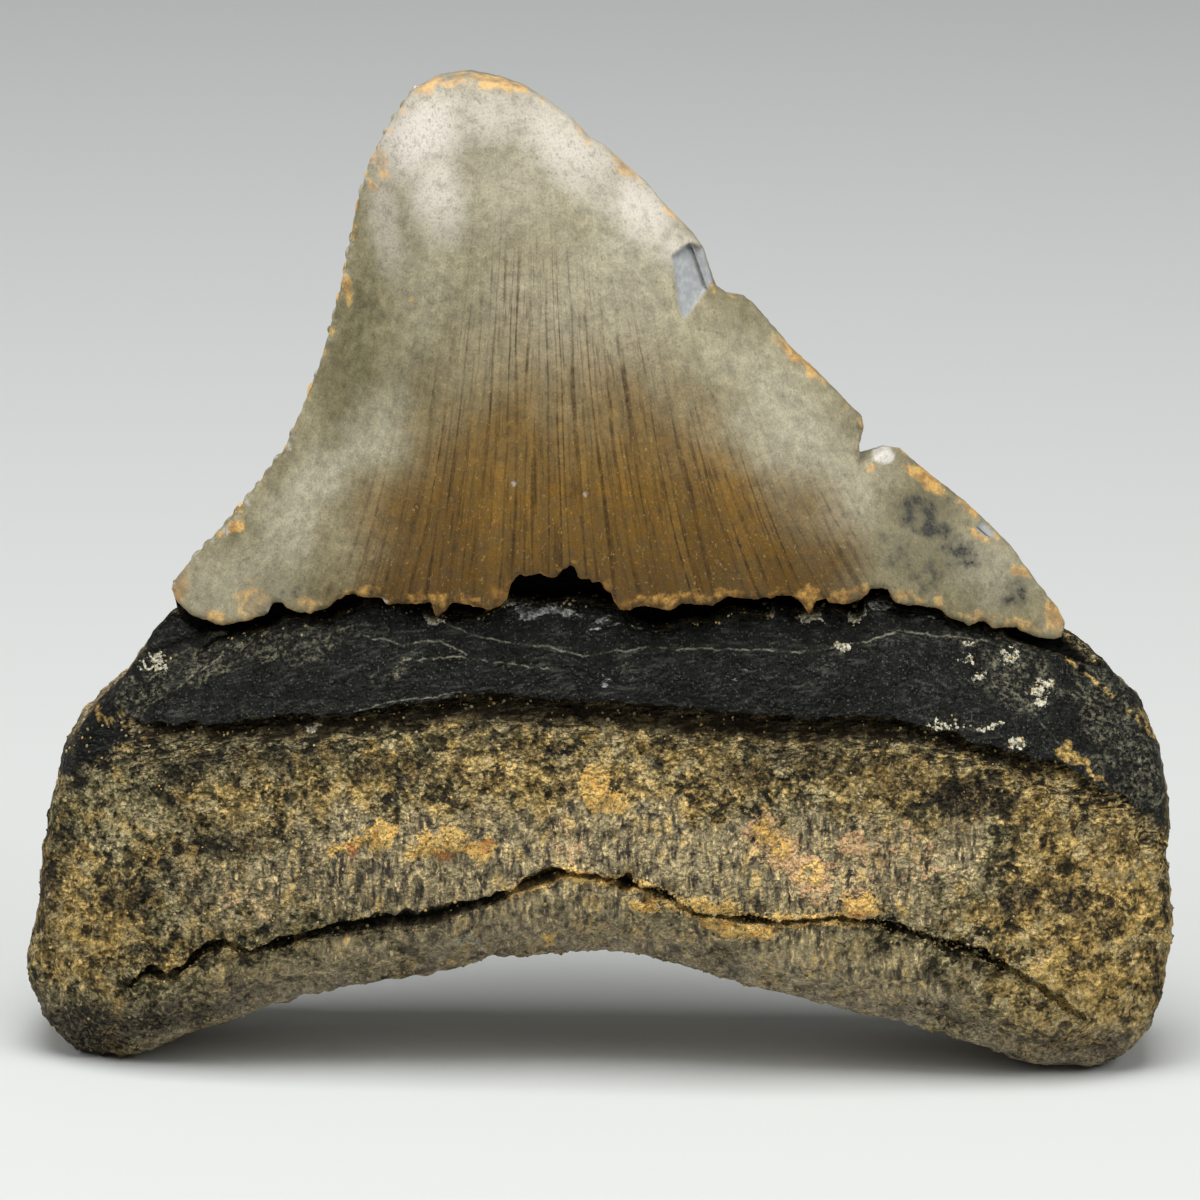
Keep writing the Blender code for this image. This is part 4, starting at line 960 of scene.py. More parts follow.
def flow(x, y, z):
    """Coordinates that run with the growth lines, which fan out towards the root."""
    spread = np.exp(FAN_RATE * (30.0 - z))
    return np.column_stack([(x - FAN_MIDDLE) / spread, y, z])


def chip_share(chip, x, z):
    """Share of a chipped facet: 1 well inside its corners, 0 outside."""
    closed = np.array(chip + chip[:1])
    return inside(closed[:-1], x, z) * rise(0.0, 0.12, away_from(closed, x, z)[0])


def chip_hollow(x, z):
    """Depth of the chipped facets, deepest towards the cutting edge."""
    depth = np.zeros(np.shape(x))
    for chip, deepest in zip(CHIPS, CHIP_DEPTHS):
        middle = np.mean(chip, axis=0)
        towards_edge = np.clip(0.6 + 0.35 * (x - middle[0]) + 0.25 * (z - middle[1]), 0.15, 1.0)
        depth += deepest * chip_share(chip, x, z) * towards_edge
    return depth


def enamel_front(x, z):
    """Depth of the enamel's inner face, rounded off at the broken lip."""
    across, _, up_crown = place_on_face(x, z)
    free = rise(0.0, 0.2, 1.0 - across)
    lip_away = np.maximum(z - height_on(LIP, x), 0.0)
    depth = crown_front(across, up_crown) + chip_hollow(x, z)
    depth += 0.16 * rise(0.3, 0.0, lip_away) ** 2
    return depth + free * (0.05 * uneven(x, z, 5.0, 2, 91.0) + 0.012 * uneven(x, z, 0.5, 3, 93.0))


def enamel_back(x, z):
    """Depth of the enamel's outer face, which reaches down over the root."""
    across, up_root, up_crown = place_on_face(x, z)
    free = rise(0.0, 0.2, 1.0 - across)
    depth = mix(root_back(across, up_root), crown_back(across, up_crown), rise(0.0, 0.12, up_crown))
    edge_away = np.maximum(z - height_on(BACK_ENAMEL_EDGE, x), 0.0)
    depth -= 0.12 * rise(0.4, 0.0, edge_away) ** 2 * free
    return depth + free * (0.05 * uneven(x, z, 5.0, 2, 97.0) - 0.06)


def build_crown(shape, colours):
    """Closed enamel crown, hollowed above its broken lower lip."""
    outline = evenly(CROWN_LEFT + CROWN_RIGHT, shape.crown_step)
    wear = uneven(outline[:, 0], outline[:, 1], 0.7, 4, 81.0)
    count = len(outline)
    ends = rise(0.0, 0.03, np.linspace(0, 1, count)) * rise(0.0, 0.03, np.linspace(1, 0, count))
    outline = set_in(outline, (0.07 * np.abs(wear) + 0.02) * ends, 2)
    _, _, up_crown = place_on_face(outline[:, 0], outline[:, 1])
    turn = mix(CUTTING_TURN, TIP_TURN, rise(0.85, 1.0, up_crown))
    lip = evenly(LIP, 0.11)[::-1]
    back_lip = evenly(jagged(BACK_ENAMEL_EDGE, 0.1, 0.9, 0.15, 87.0), count=len(lip))[::-1]
    border = set_in(outline, turn, 3)
    border[[0, -1]] = outline[[0, -1]] + np.array([[turn[0], 0.0], [-turn[-1], 0.0]])
    front_loop = np.vstack([border, lip])
    back_loop = np.vstack([border, back_lip])
    corners = [line_within(evenly(chip + chip[:1], 0.12), front_loop, 0.15) for chip in CHIPS]
    front_flat, front_faces = filled_sheet(front_loop, corners, shape.crown_step, 7)
    back_flat, back_faces = filled_sheet(back_loop, [], shape.back_step, 9)

    front = np.column_stack([front_flat[:, 0], enamel_front(*front_flat.T), front_flat[:, 1]])
    back = np.column_stack([back_flat[:, 0], enamel_back(*back_flat.T), back_flat[:, 1]])
    total = len(front_loop)
    rim = rounded_rows(outline, front[:count], back[:count], CROWN_TURNS)
    under = lip_rows(front[count:total], back[count:total], shape)
    rows = np.concatenate([rim, under], axis=1)
    places, faces, _ = closed_shape(
        (front, turned_faces(front_flat, front_faces, False)),
        (back, turned_faces(back_flat, back_faces, True)), rows)
    x, y, z = places.T
    is_back = y > CUTTING_PLANE + 0.3
    lip_line = np.where(is_back, height_on(BACK_ENAMEL_EDGE, x), height_on(LIP, x))
    lip_away, _ = away_from(LIP[::3], x, z)
    lip_away = np.where(is_back, np.abs(z - lip_line), lip_away)
    edge_away, _ = away_from(outline[::2], x, z)
    shares = crown_shares(x, z, lip_away, edge_away, is_back)
    shares["flow"] = flow(x, y, z)
    across, _, up_crown = place_on_face(x, z)
    behind_lip = y > crown_front(across, up_crown) + 0.35 * shape.lip_thickness + 0.2
    under_lip = (z < lip_line + shape.gap_height) & (lip_away > 0.02) & ~is_back & behind_lip
    # Painted shade: near-black colour on the faces inside the gap behind the broken lip.
    shares["hollow"] = np.where(under_lip, 1.0, 0.0)
    mesh = meshed("enamel_crown", kept_in_box(places), faces, shares)
    return add_piece("enamel_crown", mesh, enamel_material(colours))


# Materials.
class Graph:
    """A node tree, with short calls that add a node and join its inputs."""

    def __init__(self, tree):
        self.tree = tree

    def add(self, kind, values=None, **settings):
        made = self.tree.nodes.new(kind)
        for setting, value in settings.items():
            setattr(made, setting, value)
        for name, value in (values or {}).items():
            self.give(made.inputs[name], value)
        return made

    def give(self, socket, value):
        if isinstance(value, bpy.types.NodeSocket):
            self.tree.links.new(value, socket)
        else:
            socket.default_value = value

    def math(self, operation, first, second=0.0, clamp=False):
        made = self.add("ShaderNodeMath", {0: first, 1: second}, operation=operation, use_clamp=clamp)
        return made.outputs[0]

    def blend(self, share, first, second, kind="MIX"):
        made = self.add("ShaderNodeMix", {0: share, 6: first, 7: second}, data_type="RGBA", blend_type=kind)
        return made.outputs[2]

    def ramp(self, value, low, high, bottom=0.0, top=1.0):
        made = self.add("ShaderNodeMapRange", {0: value, 1: low, 2: high, 3: bottom, 4: top})
        return made.outputs[0]

    def noise(self, place, size, detail=3.0, rough=0.5):
        made = self.add("ShaderNodeTexNoise", {
            "Vector": place, "Scale": 1.0 / size, "Detail": detail, "Roughness": rough})
        return made.outputs[0]

    def cells(self, place, size):
        return self.add("ShaderNodeTexVoronoi", {"Vector": place, "Scale": 1.0 / size})

    def share(self, name):
        return self.attribute(name).outputs["Fac"]

    def attribute(self, name):
        return self.add("ShaderNodeAttribute", attribute_name=name, attribute_type="GEOMETRY")

    def stretched(self, place, factors):
        made = self.add("ShaderNodeVectorMath", {0: place, 1: factors}, operation="MULTIPLY")
        return made.outputs[0]

    def tilted(self, place, turn):
        made = self.add(
            "ShaderNodeVectorRotate", {"Vector": place, "Angle": radians(turn)}, rotation_type="Y_AXIS")
        return made.outputs[0]

    def shaken(self, place, size, amount):
        """A place moved about by a noise, so that cells lose their straight edges."""
        push = self.add("ShaderNodeTexNoise", {"Vector": place, "Scale": 1.0 / size, "Detail": 3.0})
        made = self.add("ShaderNodeVectorMath", {0: push.outputs["Color"], 1: (amount,) * 3, 2: place},
                        operation="MULTIPLY_ADD")
        return made.outputs[0]

    def place(self):
        """Object coordinates in millimetres."""
        return self.stretched(self.add("ShaderNodeTexCoord").outputs["Object"], (1000.0,) * 3)

    def times(self, *factors):
        total = factors[0]
        for factor in factors[1:]:
            total = self.math("MULTIPLY", total, factor)
        return total

    def layers(self, below, *layers):
        """Colours laid over what is below, each given with its shares."""
        for colour, *shares in layers:
            below = self.cover(below, colour, *shares)
        return below

    def cover(self, below, colour, *shares):
        """The colour laid over what is below, as strongly as the product of the shares."""
        return self.blend(self.times(*shares), below, solid(colour))

    def ragged(self, name, pattern, amount=1.4, softness=0.08):
        """A share whose edge follows a noise pattern."""
        share = self.share(name)
        shaken = self.math("ADD", share, self.math("MULTIPLY", self.math("SUBTRACT", pattern, 0.5), amount))
        return self.times(self.ramp(shaken, 0.5 - softness, 0.5 + softness), self.ramp(share, 0.0, 0.12))

    def toned(self, colour, tone):
        grey = self.add("ShaderNodeCombineColor", {0: tone, 1: tone, 2: tone})
        return self.blend(1.0, colour, grey.outputs[0], "MULTIPLY")

    def speckle(self, place, size, share):
        made = self.add("ShaderNodeGroup", {"Place": place, "Size": size, "Share": share},
                        node_tree=speckle_effect())
        return made.outputs

    def grain(self, place, size):
        made = self.add("ShaderNodeGroup", {"Place": place, "Size": size}, node_tree=grain_effect())
        return made.outputs[0]

    def between(self, share, first, second):
        return self.blend(share, solid(first), solid(second))

    def summed(self, *parts):
        total = parts[0]
        for part in parts[1:]:
            total = self.math("ADD", total, part)
        return total

    def finish(self, surface, colour, height, strength, distance):
        """Joins the colour to the surface, and the height through a bump."""
        self.give(surface.inputs["Base Color"], colour)
        bump = self.add("ShaderNodeBump", {"Strength": strength, "Distance": distance, "Height": height})
        self.give(surface.inputs["Normal"], bump.outputs[0])


def solid(colour):
    return tuple(colour) + (1.0,)


def new_tree(tree_kind, name, inputs, outputs):
    """An empty node tree with named sockets, and its input and output nodes."""
    tree = bpy.data.node_groups.new(name, tree_kind)
    for label, kind, default in inputs:
        socket = tree.interface.new_socket(label, in_out="INPUT", socket_type=kind)
        if default is not None:
            socket.default_value = default
    for label, kind in outputs:
        tree.interface.new_socket(label, in_out="OUTPUT", socket_type=kind)
    graph = Graph(tree)
    return graph, graph.add("NodeGroupInput"), graph.add("NodeGroupOutput")


def speckle_effect():
    """Scattered specks: a mask, and a random value for each speck."""
    if "Speckle" in bpy.data.node_groups:
        return bpy.data.node_groups["Speckle"]
    graph, given, out = new_tree("ShaderNodeTree", "Speckle", [
        ("Place", "NodeSocketVector", None), ("Size", "NodeSocketFloat", 0.2),
        ("Share", "NodeSocketFloat", 0.3),
    ], [("Mask", "NodeSocketFloat"), ("Random", "NodeSocketFloat")])
    cells = graph.add("ShaderNodeTexVoronoi", {
        "Vector": given.outputs["Place"], "Scale": graph.math("DIVIDE", 1.0, given.outputs["Size"])})
    random = graph.add("ShaderNodeSeparateColor", {0: cells.outputs["Color"]})
    chosen = graph.math("LESS_THAN", random.outputs[0], given.outputs["Share"])
    near = graph.ramp(cells.outputs["Distance"], 0.55, 0.3)
    graph.give(out.inputs["Mask"], graph.math("MULTIPLY", chosen, near))
    graph.give(out.inputs["Random"], random.outputs[1])
    return graph.tree


def grain_effect():
    """Fine mineral grain as a height between 0 and 1."""
    if "Mineral Grain" in bpy.data.node_groups:
        return bpy.data.node_groups["Mineral Grain"]
    graph, given, out = new_tree("ShaderNodeTree", "Mineral Grain", [
        ("Place", "NodeSocketVector", None), ("Size", "NodeSocketFloat", 0.2),
    ], [("Height", "NodeSocketFloat")])
    scale = graph.math("DIVIDE", 1.0, given.outputs["Size"])
    fine = graph.add("ShaderNodeTexNoise", {
        "Vector": given.outputs["Place"], "Scale": scale, "Detail": 3.0, "Roughness": 0.6})
    cells = graph.add("ShaderNodeTexVoronoi", {"Vector": given.outputs["Place"], "Scale": scale})
    bumps = graph.ramp(cells.outputs["Distance"], 0.7, 0.0)
    graph.give(out.inputs["Height"], graph.times(graph.math("ADD", fine.outputs[0], bumps), 0.5))
    return graph.tree


def new_material(name, roughness, shine):
    material = bpy.data.materials.new(name)
    material.use_nodes = True
    graph = Graph(material.node_tree)
    surface = material.node_tree.nodes["Principled BSDF"]
    surface.inputs["Roughness"].default_value = roughness
    surface.inputs["Specular IOR Level"].default_value = shine
    return material, graph, surface


def enamel_material(colours):
    material, graph, surface = new_material("enamel", 0.36, 0.22)
    place = graph.place()
    along = graph.attribute("flow").outputs["Vector"]
    fine = graph.noise(place, 0.12, 3.0, 0.65)
    mottle = graph.noise(place, 0.6, 3.0, 0.6)
    cloud = graph.noise(place, 3.2, 3.0, 0.55)
    across = graph.add("ShaderNodeSeparateXYZ", {0: along}).outputs[0]
    bent = graph.math(
        "ADD", across, graph.times(graph.noise(graph.stretched(along, (1.0, 0.3, 0.06)), 1.3, 2.0), 1.6))
    waves = graph.math("SINE", graph.times(bent, 2.0 * pi / 0.58))
    uneven_lines = graph.noise(graph.stretched(along, (1.0, 0.3, 0.05)), 0.55, 2.0)
    line_noise = graph.times(graph.ramp(waves, 0.45, 0.95), graph.ramp(uneven_lines, 0.38, 0.6, 0.15, 1.0))
    hair_noise = graph.noise(graph.stretched(along, (1.0, 0.3, 0.03)), 0.15, 2.0)
    shafts = graph.ramp(
        graph.noise(graph.stretched(along, (1.0, 0.3, 0.05)), 1.1, 3.0), 0.3, 0.66, 0.3, 1.0)
    curls = graph.ramp(graph.noise(graph.stretched(along, (1.0, 1.0, 0.6)), 0.16, 3.0, 0.75), 0.6, 0.7)
    pits = graph.speckle(graph.stretched(place, (1.0, 1.0, 0.5)), 0.15, 0.1)
    body = graph.between(graph.ramp(cloud, 0.35, 0.68), colours.enamel_shadow, colours.enamel)
    body = graph.layers(
        body,
        (colours.enamel_deep, graph.share("deep"), graph.ramp(mottle, 0.3, 0.7, 1.0, 0.5)),
        # paler enamel, and painted highlight near the tip
        (colours.enamel_pale, graph.share("pale")))
    amber = graph.between(shafts, colours.amber_dark, colours.amber)
    amber = graph.cover(amber, colours.amber_dark, graph.share("low"))
    amber_share = graph.times(graph.share("amber"), graph.ramp(mottle, 0.3, 0.7, 0.85, 1.0))
    body = graph.blend(amber_share, body, amber)
    lined = graph.ramp(graph.share("streaked"), 0.0, 1.0, 0.08, 0.82)
    body = graph.layers(
        body,
        (colours.growth_line, line_noise, lined, graph.ramp(mottle, 0.35, 0.65, 1.0, 0.5)),
        (colours.growth_line, graph.ramp(hair_noise, 0.44, 0.3), lined, 0.6))
    body = graph.toned(
        body, graph.times(graph.ramp(mottle, 0.3, 0.7, 0.76, 1.24), graph.ramp(fine, 0.3, 0.7, 0.78, 1.22)))
    body = graph.layers(
        body,
        (colours.enamel_glint, curls, graph.ramp(graph.share("streaked"), 0.0, 1.0, 0.35, 0.45)),
        # whitish wear on the tip, partly painted highlight
        (colours.frost_and_highlight, graph.share("frost_and_highlight"), graph.ramp(mottle, 0.3, 0.5, 0.6, 1.0),
         graph.ramp(fine, 0.34, 0.5, 0.6, 1.0)),
        (colours.smudge, graph.ragged("smudge", mottle, 2.4, 0.4), graph.ramp(fine, 0.3, 0.6, 0.7, 1.0)),
        (colours.growth_line, pits[0], graph.ramp(graph.share("frost_and_highlight"), 0.0, 1.0, 0.1, 0.2)))
    rust = graph.between(graph.ramp(mottle, 0.42, 0.6), colours.rust_deep, colours.rust_light)
    body = graph.blend(
        graph.times(graph.ragged("rust", mottle, 2.6, 0.45), graph.ramp(fine, 0.35, 0.6, 0.4, 0.75)), body,
        rust)
    rim = graph.between(graph.ramp(mottle, 0.38, 0.6), colours.rim_dark, colours.rim)
    body = graph.blend(
        graph.times(graph.share("rim"), graph.ramp(mottle, 0.36, 0.54, 0.2, 0.65)), body, rim)
    scratch = graph.noise(graph.stretched(graph.tilted(place, -28.0), (1.0, 1.0, 0.12)), 0.3, 2.0)
    chip = graph.between(graph.ramp(scratch, 0.4, 0.66, 0.0, 0.22), colours.chip, colours.white_chip)
    body = graph.blend(graph.share("chipped"), body, chip)
    body = graph.layers(
        body,
        # white chips, and painted glints along the left edge
        (colours.white_chip, graph.share("white_and_glint"), graph.ramp(fine, 0.35, 0.5, 0.5, 1.0)),
        # near-black painted shade inside the gap behind the lip
        (colours.hollow, graph.share("hollow")))
    rough = graph.math(
        "ADD", graph.ramp(fine, 0.3, 0.7, 0.28, 0.42), graph.times(graph.share("frost_and_highlight"), 0.08))
    graph.give(
        surface.inputs["Roughness"],
        graph.math("SUBTRACT", rough, graph.times(graph.share("chipped"), 0.12)))
    height = graph.math("SUBTRACT", graph.times(fine, 0.6), graph.times(line_noise, lined, 0.5))
    height = graph.math("SUBTRACT", height, graph.times(pits[0], 0.4))
    height = graph.math("ADD", height, graph.times(mottle, graph.share("rim"), 2.0))
    graph.finish(surface, body, height, 0.5, 0.08 * MM)
    return material


def root_material(colours):
    material, graph, surface = new_material("fossil_root", 0.75, 0.1)
    place = graph.place()
    upright = graph.stretched(place, (1.0, 1.0, 0.3))
    salt = graph.noise(place, 0.26, 3.0, 0.65)
    grit = graph.noise(place, 0.6, 3.0, 0.65)
    cloud = graph.noise(place, 2.2, 3.0, 0.6)
    wide = graph.noise(place, 6.0, 2.0)
    strokes = graph.noise(upright, 0.2, 2.0)
    sticks = graph.noise(upright, 0.4, 3.0, 0.6)
    leaves = graph.noise(graph.stretched(graph.tilted(place, 8.0), (0.22, 1.0, 1.0)), 0.26, 2.0, 0.6)
    flakes = graph.noise(graph.stretched(graph.tilted(place, 10.0), (0.45, 1.0, 1.4)), 0.5, 3.0, 0.65)
    clumps = graph.cells(graph.shaken(place, 0.5, 0.9), 0.75)
    lot = graph.add("ShaderNodeSeparateColor", {0: clumps.outputs["Color"]}).outputs
    mixed = graph.math("ADD", graph.times(salt, 0.4), graph.times(grit, 0.6))
    patches = graph.noise(place, 1.3, 3.0, 0.7)
    layered = graph.share("layered")
    coarse = graph.between(graph.ramp(grit, 0.36, 0.54), colours.bone_dark, colours.bone)
    coarse = graph.layers(
        coarse,
        (colours.bone_light, graph.ramp(salt, 0.46, 0.62), graph.ramp(grit, 0.42, 0.58, 0.0, 0.9)),
        (colours.bone_ochre, graph.ragged("golden", cloud, 2.4, 0.4),
         graph.ramp(salt, 0.35, 0.6, 0.35, 0.75)),
        (colours.bone_gold, graph.ragged("golden", mixed, 4.0, 0.25), graph.ramp(grit, 0.42, 0.58),
         graph.ramp(salt, 0.36, 0.6, 0.5, 1.0), 0.8),
        (colours.bone_dark, graph.ramp(patches, 0.48, 0.38), 0.8),
        (colours.bone_light, graph.ramp(patches, 0.53, 0.62), graph.ramp(salt, 0.36, 0.56), 0.7),
        (colours.bone_dark, graph.ramp(lot[0], 0.42, 0.24), graph.ramp(mixed, 0.64, 0.46), 0.8),
        (colours.bone_light, graph.ramp(lot[0], 0.74, 0.9), graph.ramp(salt, 0.36, 0.56), 0.55),
        (colours.bone_ochre, graph.ramp(lot[1], 0.7, 0.9), graph.ramp(mixed, 0.42, 0.56), 0.6),
        (colours.bone_dark, layered, graph.ramp(leaves, 0.5, 0.4)),
        (colours.bone_light, layered, graph.ramp(leaves, 0.58, 0.68), 0.7))
    stringy = graph.between(graph.ramp(sticks, 0.36, 0.56), colours.fibre_dark, colours.fibre)
    stringy = graph.layers(
        stringy,
        (colours.fibre_pale, graph.ramp(strokes, 0.56, 0.64), graph.ramp(grit, 0.38, 0.6, 0.1, 1.0)),
        (colours.bone_gold, graph.ramp(graph.math("ADD", sticks, cloud), 1.1, 1.22), 0.6))
    bone = graph.blend(
        graph.ramp(graph.math("ADD", graph.share("fibre"), graph.times(grit, 0.8)), 0.6, 0.95), coarse,
        stringy)
    bone = graph.layers(
        bone,
        (colours.worn, graph.share("smooth"), graph.ramp(grit, 0.35, 0.6, 0.45, 0.9)),
        (colours.pink, graph.ragged("pink", mixed, 3.0), 0.75))
    rust = graph.between(graph.ramp(grit, 0.4, 0.6), colours.rust_light, colours.bone_gold)
    bone = graph.blend(graph.times(graph.ragged("rust", mixed, 2.6, 0.14), 0.9), bone, rust)
    bone = graph.layers(
        bone,
        (colours.red, graph.ragged("red", mixed, 3.0), 0.7),
        # grey stains, partly painted shade
        (colours.grey_stain_and_shade, graph.ragged("grey", grit, 1.8, 0.16), graph.ramp(salt, 0.4, 0.6, 0.95, 0.6)),
        # dark brown strip below the band, partly painted shade under its overhang
        (colours.strip, graph.share("strip"), graph.ramp(leaves, 0.6, 0.45, 0.8, 0.97)))
    flecks = graph.speckle(place, 0.12, 0.25)
    band = graph.between(graph.ramp(cloud, 0.35, 0.65), colours.band, colours.band_blue)
    band = graph.cover(band, colours.band_fleck, flecks[0], graph.ramp(grit, 0.4, 0.65, 0.1, 0.8))
    scuffs = graph.times(graph.ramp(leaves, 0.52, 0.68), graph.ramp(cloud, 0.4, 0.6, 0.15, 1.0), 0.45)
    band = graph.cover(band, colours.band_fleck, scuffs)
    dusty = graph.times(
        graph.ragged("dust", cloud, 2.0), graph.ramp(salt, 0.47, 0.6), graph.ramp(grit, 0.4, 0.6, 0.1, 0.8))
    band = graph.cover(band, colours.dust, dusty)
    chalky = graph.ramp(graph.math("ADD", graph.share("chalk"), graph.times(flakes, 3.0)), 2.25, 2.55)
    chalky = graph.times(chalky, graph.ramp(graph.share("chalk"), 0.0, 0.15))
    chalk = graph.between(graph.ramp(salt, 0.4, 0.62), colours.chalk_shadow, colours.chalk)
    band = graph.blend(chalky, band, chalk)
    bone = graph.blend(graph.share("dark_band"), bone, band)
    bone = graph.layers(
        bone,
        (colours.bone_ochre, graph.ragged("tan", mixed, 1.2, 0.2), graph.ramp(salt, 0.4, 0.56, 0.3, 0.85)),
        (colours.hairline, graph.share("hairline"), graph.ramp(grit, 0.42, 0.58, 0.05, 0.85)),
        (colours.crumb, graph.ragged("pale", mixed, 4.0), graph.ramp(salt, 0.42, 0.54, 0.2, 1.0)))
    tone = graph.times(graph.ramp(wide, 0.3, 0.7, 0.8, 1.2), graph.ramp(salt, 0.3, 0.7, 0.76, 1.24))
    sideways = graph.add("ShaderNodeSeparateXYZ", {0: place}).outputs[0]
    tone = graph.times(tone, graph.ramp(sideways, *LIGHTER_RIGHT, 0.98, 1.13))
    bone = graph.toned(bone, tone)
    # Painted shade: near-black in the gap, the cracks and the pit.
    bone = graph.cover(bone, colours.hollow, graph.share("hollow"))
    graph.give(
        surface.inputs["Roughness"],
        graph.math("SUBTRACT", 0.82, graph.times(graph.share("dark_band"), 0.25)))
    height = graph.summed(
        graph.times(graph.grain(place, 0.22), 0.8), graph.times(sticks, graph.share("fibre"), 1.2),
        graph.times(grit, 1.5), graph.times(patches, 2.4), graph.times(leaves, layered, 1.6))
    height = graph.times(height, graph.ramp(graph.share("dark_band"), 0.0, 1.0, 1.0, 0.5))
    graph.finish(surface, bone, height, 1.0, 0.6 * MM)
    return material


def grain_material(colours):
    material, graph, surface = new_material("sediment", 0.7, 0.3)
    tint = graph.share("tint")
    place = graph.place()
    body = graph.between(graph.ramp(tint, 0.2, 0.6), colours.bone, colours.bone_light)
    body = graph.cover(body, colours.bone_ochre, graph.ramp(tint, 0.6, 0.85))
    fine = graph.noise(place, 0.12, 2.0)
    body = graph.toned(body, graph.ramp(fine, 0.3, 0.7, 0.45, 1.0))
    graph.finish(surface, body, graph.grain(place, 0.1), 0.6, 0.05 * MM)
    return material


def bead_material(colours):
    material, graph, surface = new_material("serration", 0.3, 0.5)
    tint = graph.share("tint")
    place = graph.place()
    patch = graph.noise(place, 0.35, 3.0)
    body = graph.between(graph.ramp(patch, 0.4, 0.6), colours.enamel_shadow, colours.enamel_pale)
    body = graph.layers(
        body,
        (colours.rust_light, graph.ramp(tint, 0.5, 0.6), graph.ramp(patch, 0.4, 0.5)),
        (colours.rust_deep, graph.ramp(tint, 0.5, 0.7), graph.ramp(patch, 0.54, 0.62)),
        # white beads, partly painted glints
        (colours.white_chip, graph.ramp(tint, 0.12, 0.05), graph.ramp(patch, 0.5, 0.56), 0.35))
    graph.finish(surface, body, patch, 0.6, 0.08 * MM)
    return material


# Repeated pieces, made by Geometry Nodes.
def geometry_tree(name, inputs):
    """An empty Geometry Nodes tree with named inputs besides its geometry."""
    inputs = [("Geometry", "NodeSocketGeometry", None)] + inputs
    return new_tree("GeometryNodeTree", name, inputs, [("Geometry", "NodeSocketGeometry")])


def tinted(graph, instances, seed):
    """Instances with a random value each, for their colour."""
    value = graph.add("FunctionNodeRandomValue", {"Seed": seed}, data_type="FLOAT")
    stored = graph.add("GeometryNodeStoreNamedAttribute", {
        "Geometry": instances, "Name": "tint"}, data_type="FLOAT", domain="INSTANCE")
    graph.give(stored.inputs["Value"], value.outputs[1])
    return stored.outputs[0]


def made_real(graph, out, instances, seed, material):
    """Turns tinted instances into plain geometry with its material, as the tree's result."""
    real = graph.add("GeometryNodeRealizeInstances", {"Geometry": tinted(graph, instances, seed)})
    finish = graph.add("GeometryNodeSetMaterial", {"Geometry": real.outputs[0], "Material": material})
    graph.give(out.inputs["Geometry"], finish.outputs[0])
    return graph.tree


def grain_tree(material):
    """Scatters faceted grains over the faces, as densely as the share given on each point."""
    graph, given, out = geometry_tree("scattered_grains", [
        ("Grains per Square Metre", "NodeSocketFloat", 1e6),
        ("Smallest", "NodeSocketFloat", 5e-5),
        ("Largest", "NodeSocketFloat", 2e-4),
        ("Seed", "NodeSocketInt", 4),
    ])
    share = graph.add("GeometryNodeInputNamedAttribute", {"Name": "grain_share"}, data_type="FLOAT")
    density = graph.math("MULTIPLY", share.outputs[0], given.outputs["Grains per Square Metre"])
    spread = graph.add("GeometryNodeDistributePointsOnFaces", {
        "Mesh": given.outputs["Geometry"], "Density": density, "Seed": given.outputs["Seed"]})
    ball = graph.add("GeometryNodeMeshIcoSphere", {"Radius": 1.0, "Subdivisions": 2})
    size = graph.add("FunctionNodeRandomValue", {"Seed": 11}, data_type="FLOAT")
    graph.give(size.inputs[2], given.outputs["Smallest"])
    graph.give(size.inputs[3], given.outputs["Largest"])
    stretch = graph.add("FunctionNodeRandomValue", {0: (0.6, 0.6, 0.5), 1: (1.2, 1.2, 1.0), "Seed": 12},
                        data_type="FLOAT_VECTOR")
    scale = graph.add("ShaderNodeVectorMath", {0: stretch.outputs[0]}, operation="SCALE")
    graph.give(scale.inputs["Scale"], size.outputs[1])
    turn = graph.add("FunctionNodeRandomValue", {0: (0.0,) * 3, 1: (6.28,) * 3, "Seed": 13},
                     data_type="FLOAT_VECTOR")
    placed = graph.add("GeometryNodeInstanceOnPoints", {
        "Points": spread.outputs["Points"], "Instance": ball.outputs["Mesh"],
        "Rotation": turn.outputs[0], "Scale": scale.outputs[0]})
    return made_real(graph, out, placed.outputs[0], 14, material)


def bead_tree(material):
    """Sets one worn bead after another along a line."""
    graph, given, out = geometry_tree("serration_beads", [
        ("Pitch", "NodeSocketFloat", 0.001),
        ("Half Width", "NodeSocketFloat", 0.0003),
        ("Seed", "NodeSocketInt", 2),
    ])
    curve = graph.add("GeometryNodeMeshToCurve", {"Mesh": given.outputs["Geometry"]})
    path = graph.add("GeometryNodeResampleCurve", {
        "Curve": curve.outputs[0], "Length": given.outputs["Pitch"]}, mode="LENGTH")
    ball = graph.add("GeometryNodeMeshIcoSphere", {"Radius": 1.0, "Subdivisions": 2})
    smooth = graph.add("GeometryNodeSetShadeSmooth", {"Geometry": ball.outputs["Mesh"]})
    tangent = graph.add("GeometryNodeInputTangent")
    turn = graph.add("FunctionNodeAlignEulerToVector", {"Vector": tangent.outputs[0]}, axis="X")
    stretch = graph.add("FunctionNodeRandomValue", {
        0: (1.0, 0.6, 0.4), 1: (2.2, 1.1, 1.0), "Seed": given.outputs["Seed"]}, data_type="FLOAT_VECTOR")
    scale = graph.add("ShaderNodeVectorMath", {0: stretch.outputs[0]}, operation="SCALE")
    graph.give(scale.inputs["Scale"], given.outputs["Half Width"])
    placed = graph.add("GeometryNodeInstanceOnPoints", {
        "Points": path.outputs[0], "Instance": smooth.outputs[0],
        "Rotation": turn.outputs[0], "Scale": scale.outputs[0]})
    return made_real(graph, out, placed.outputs[0], 21, material)


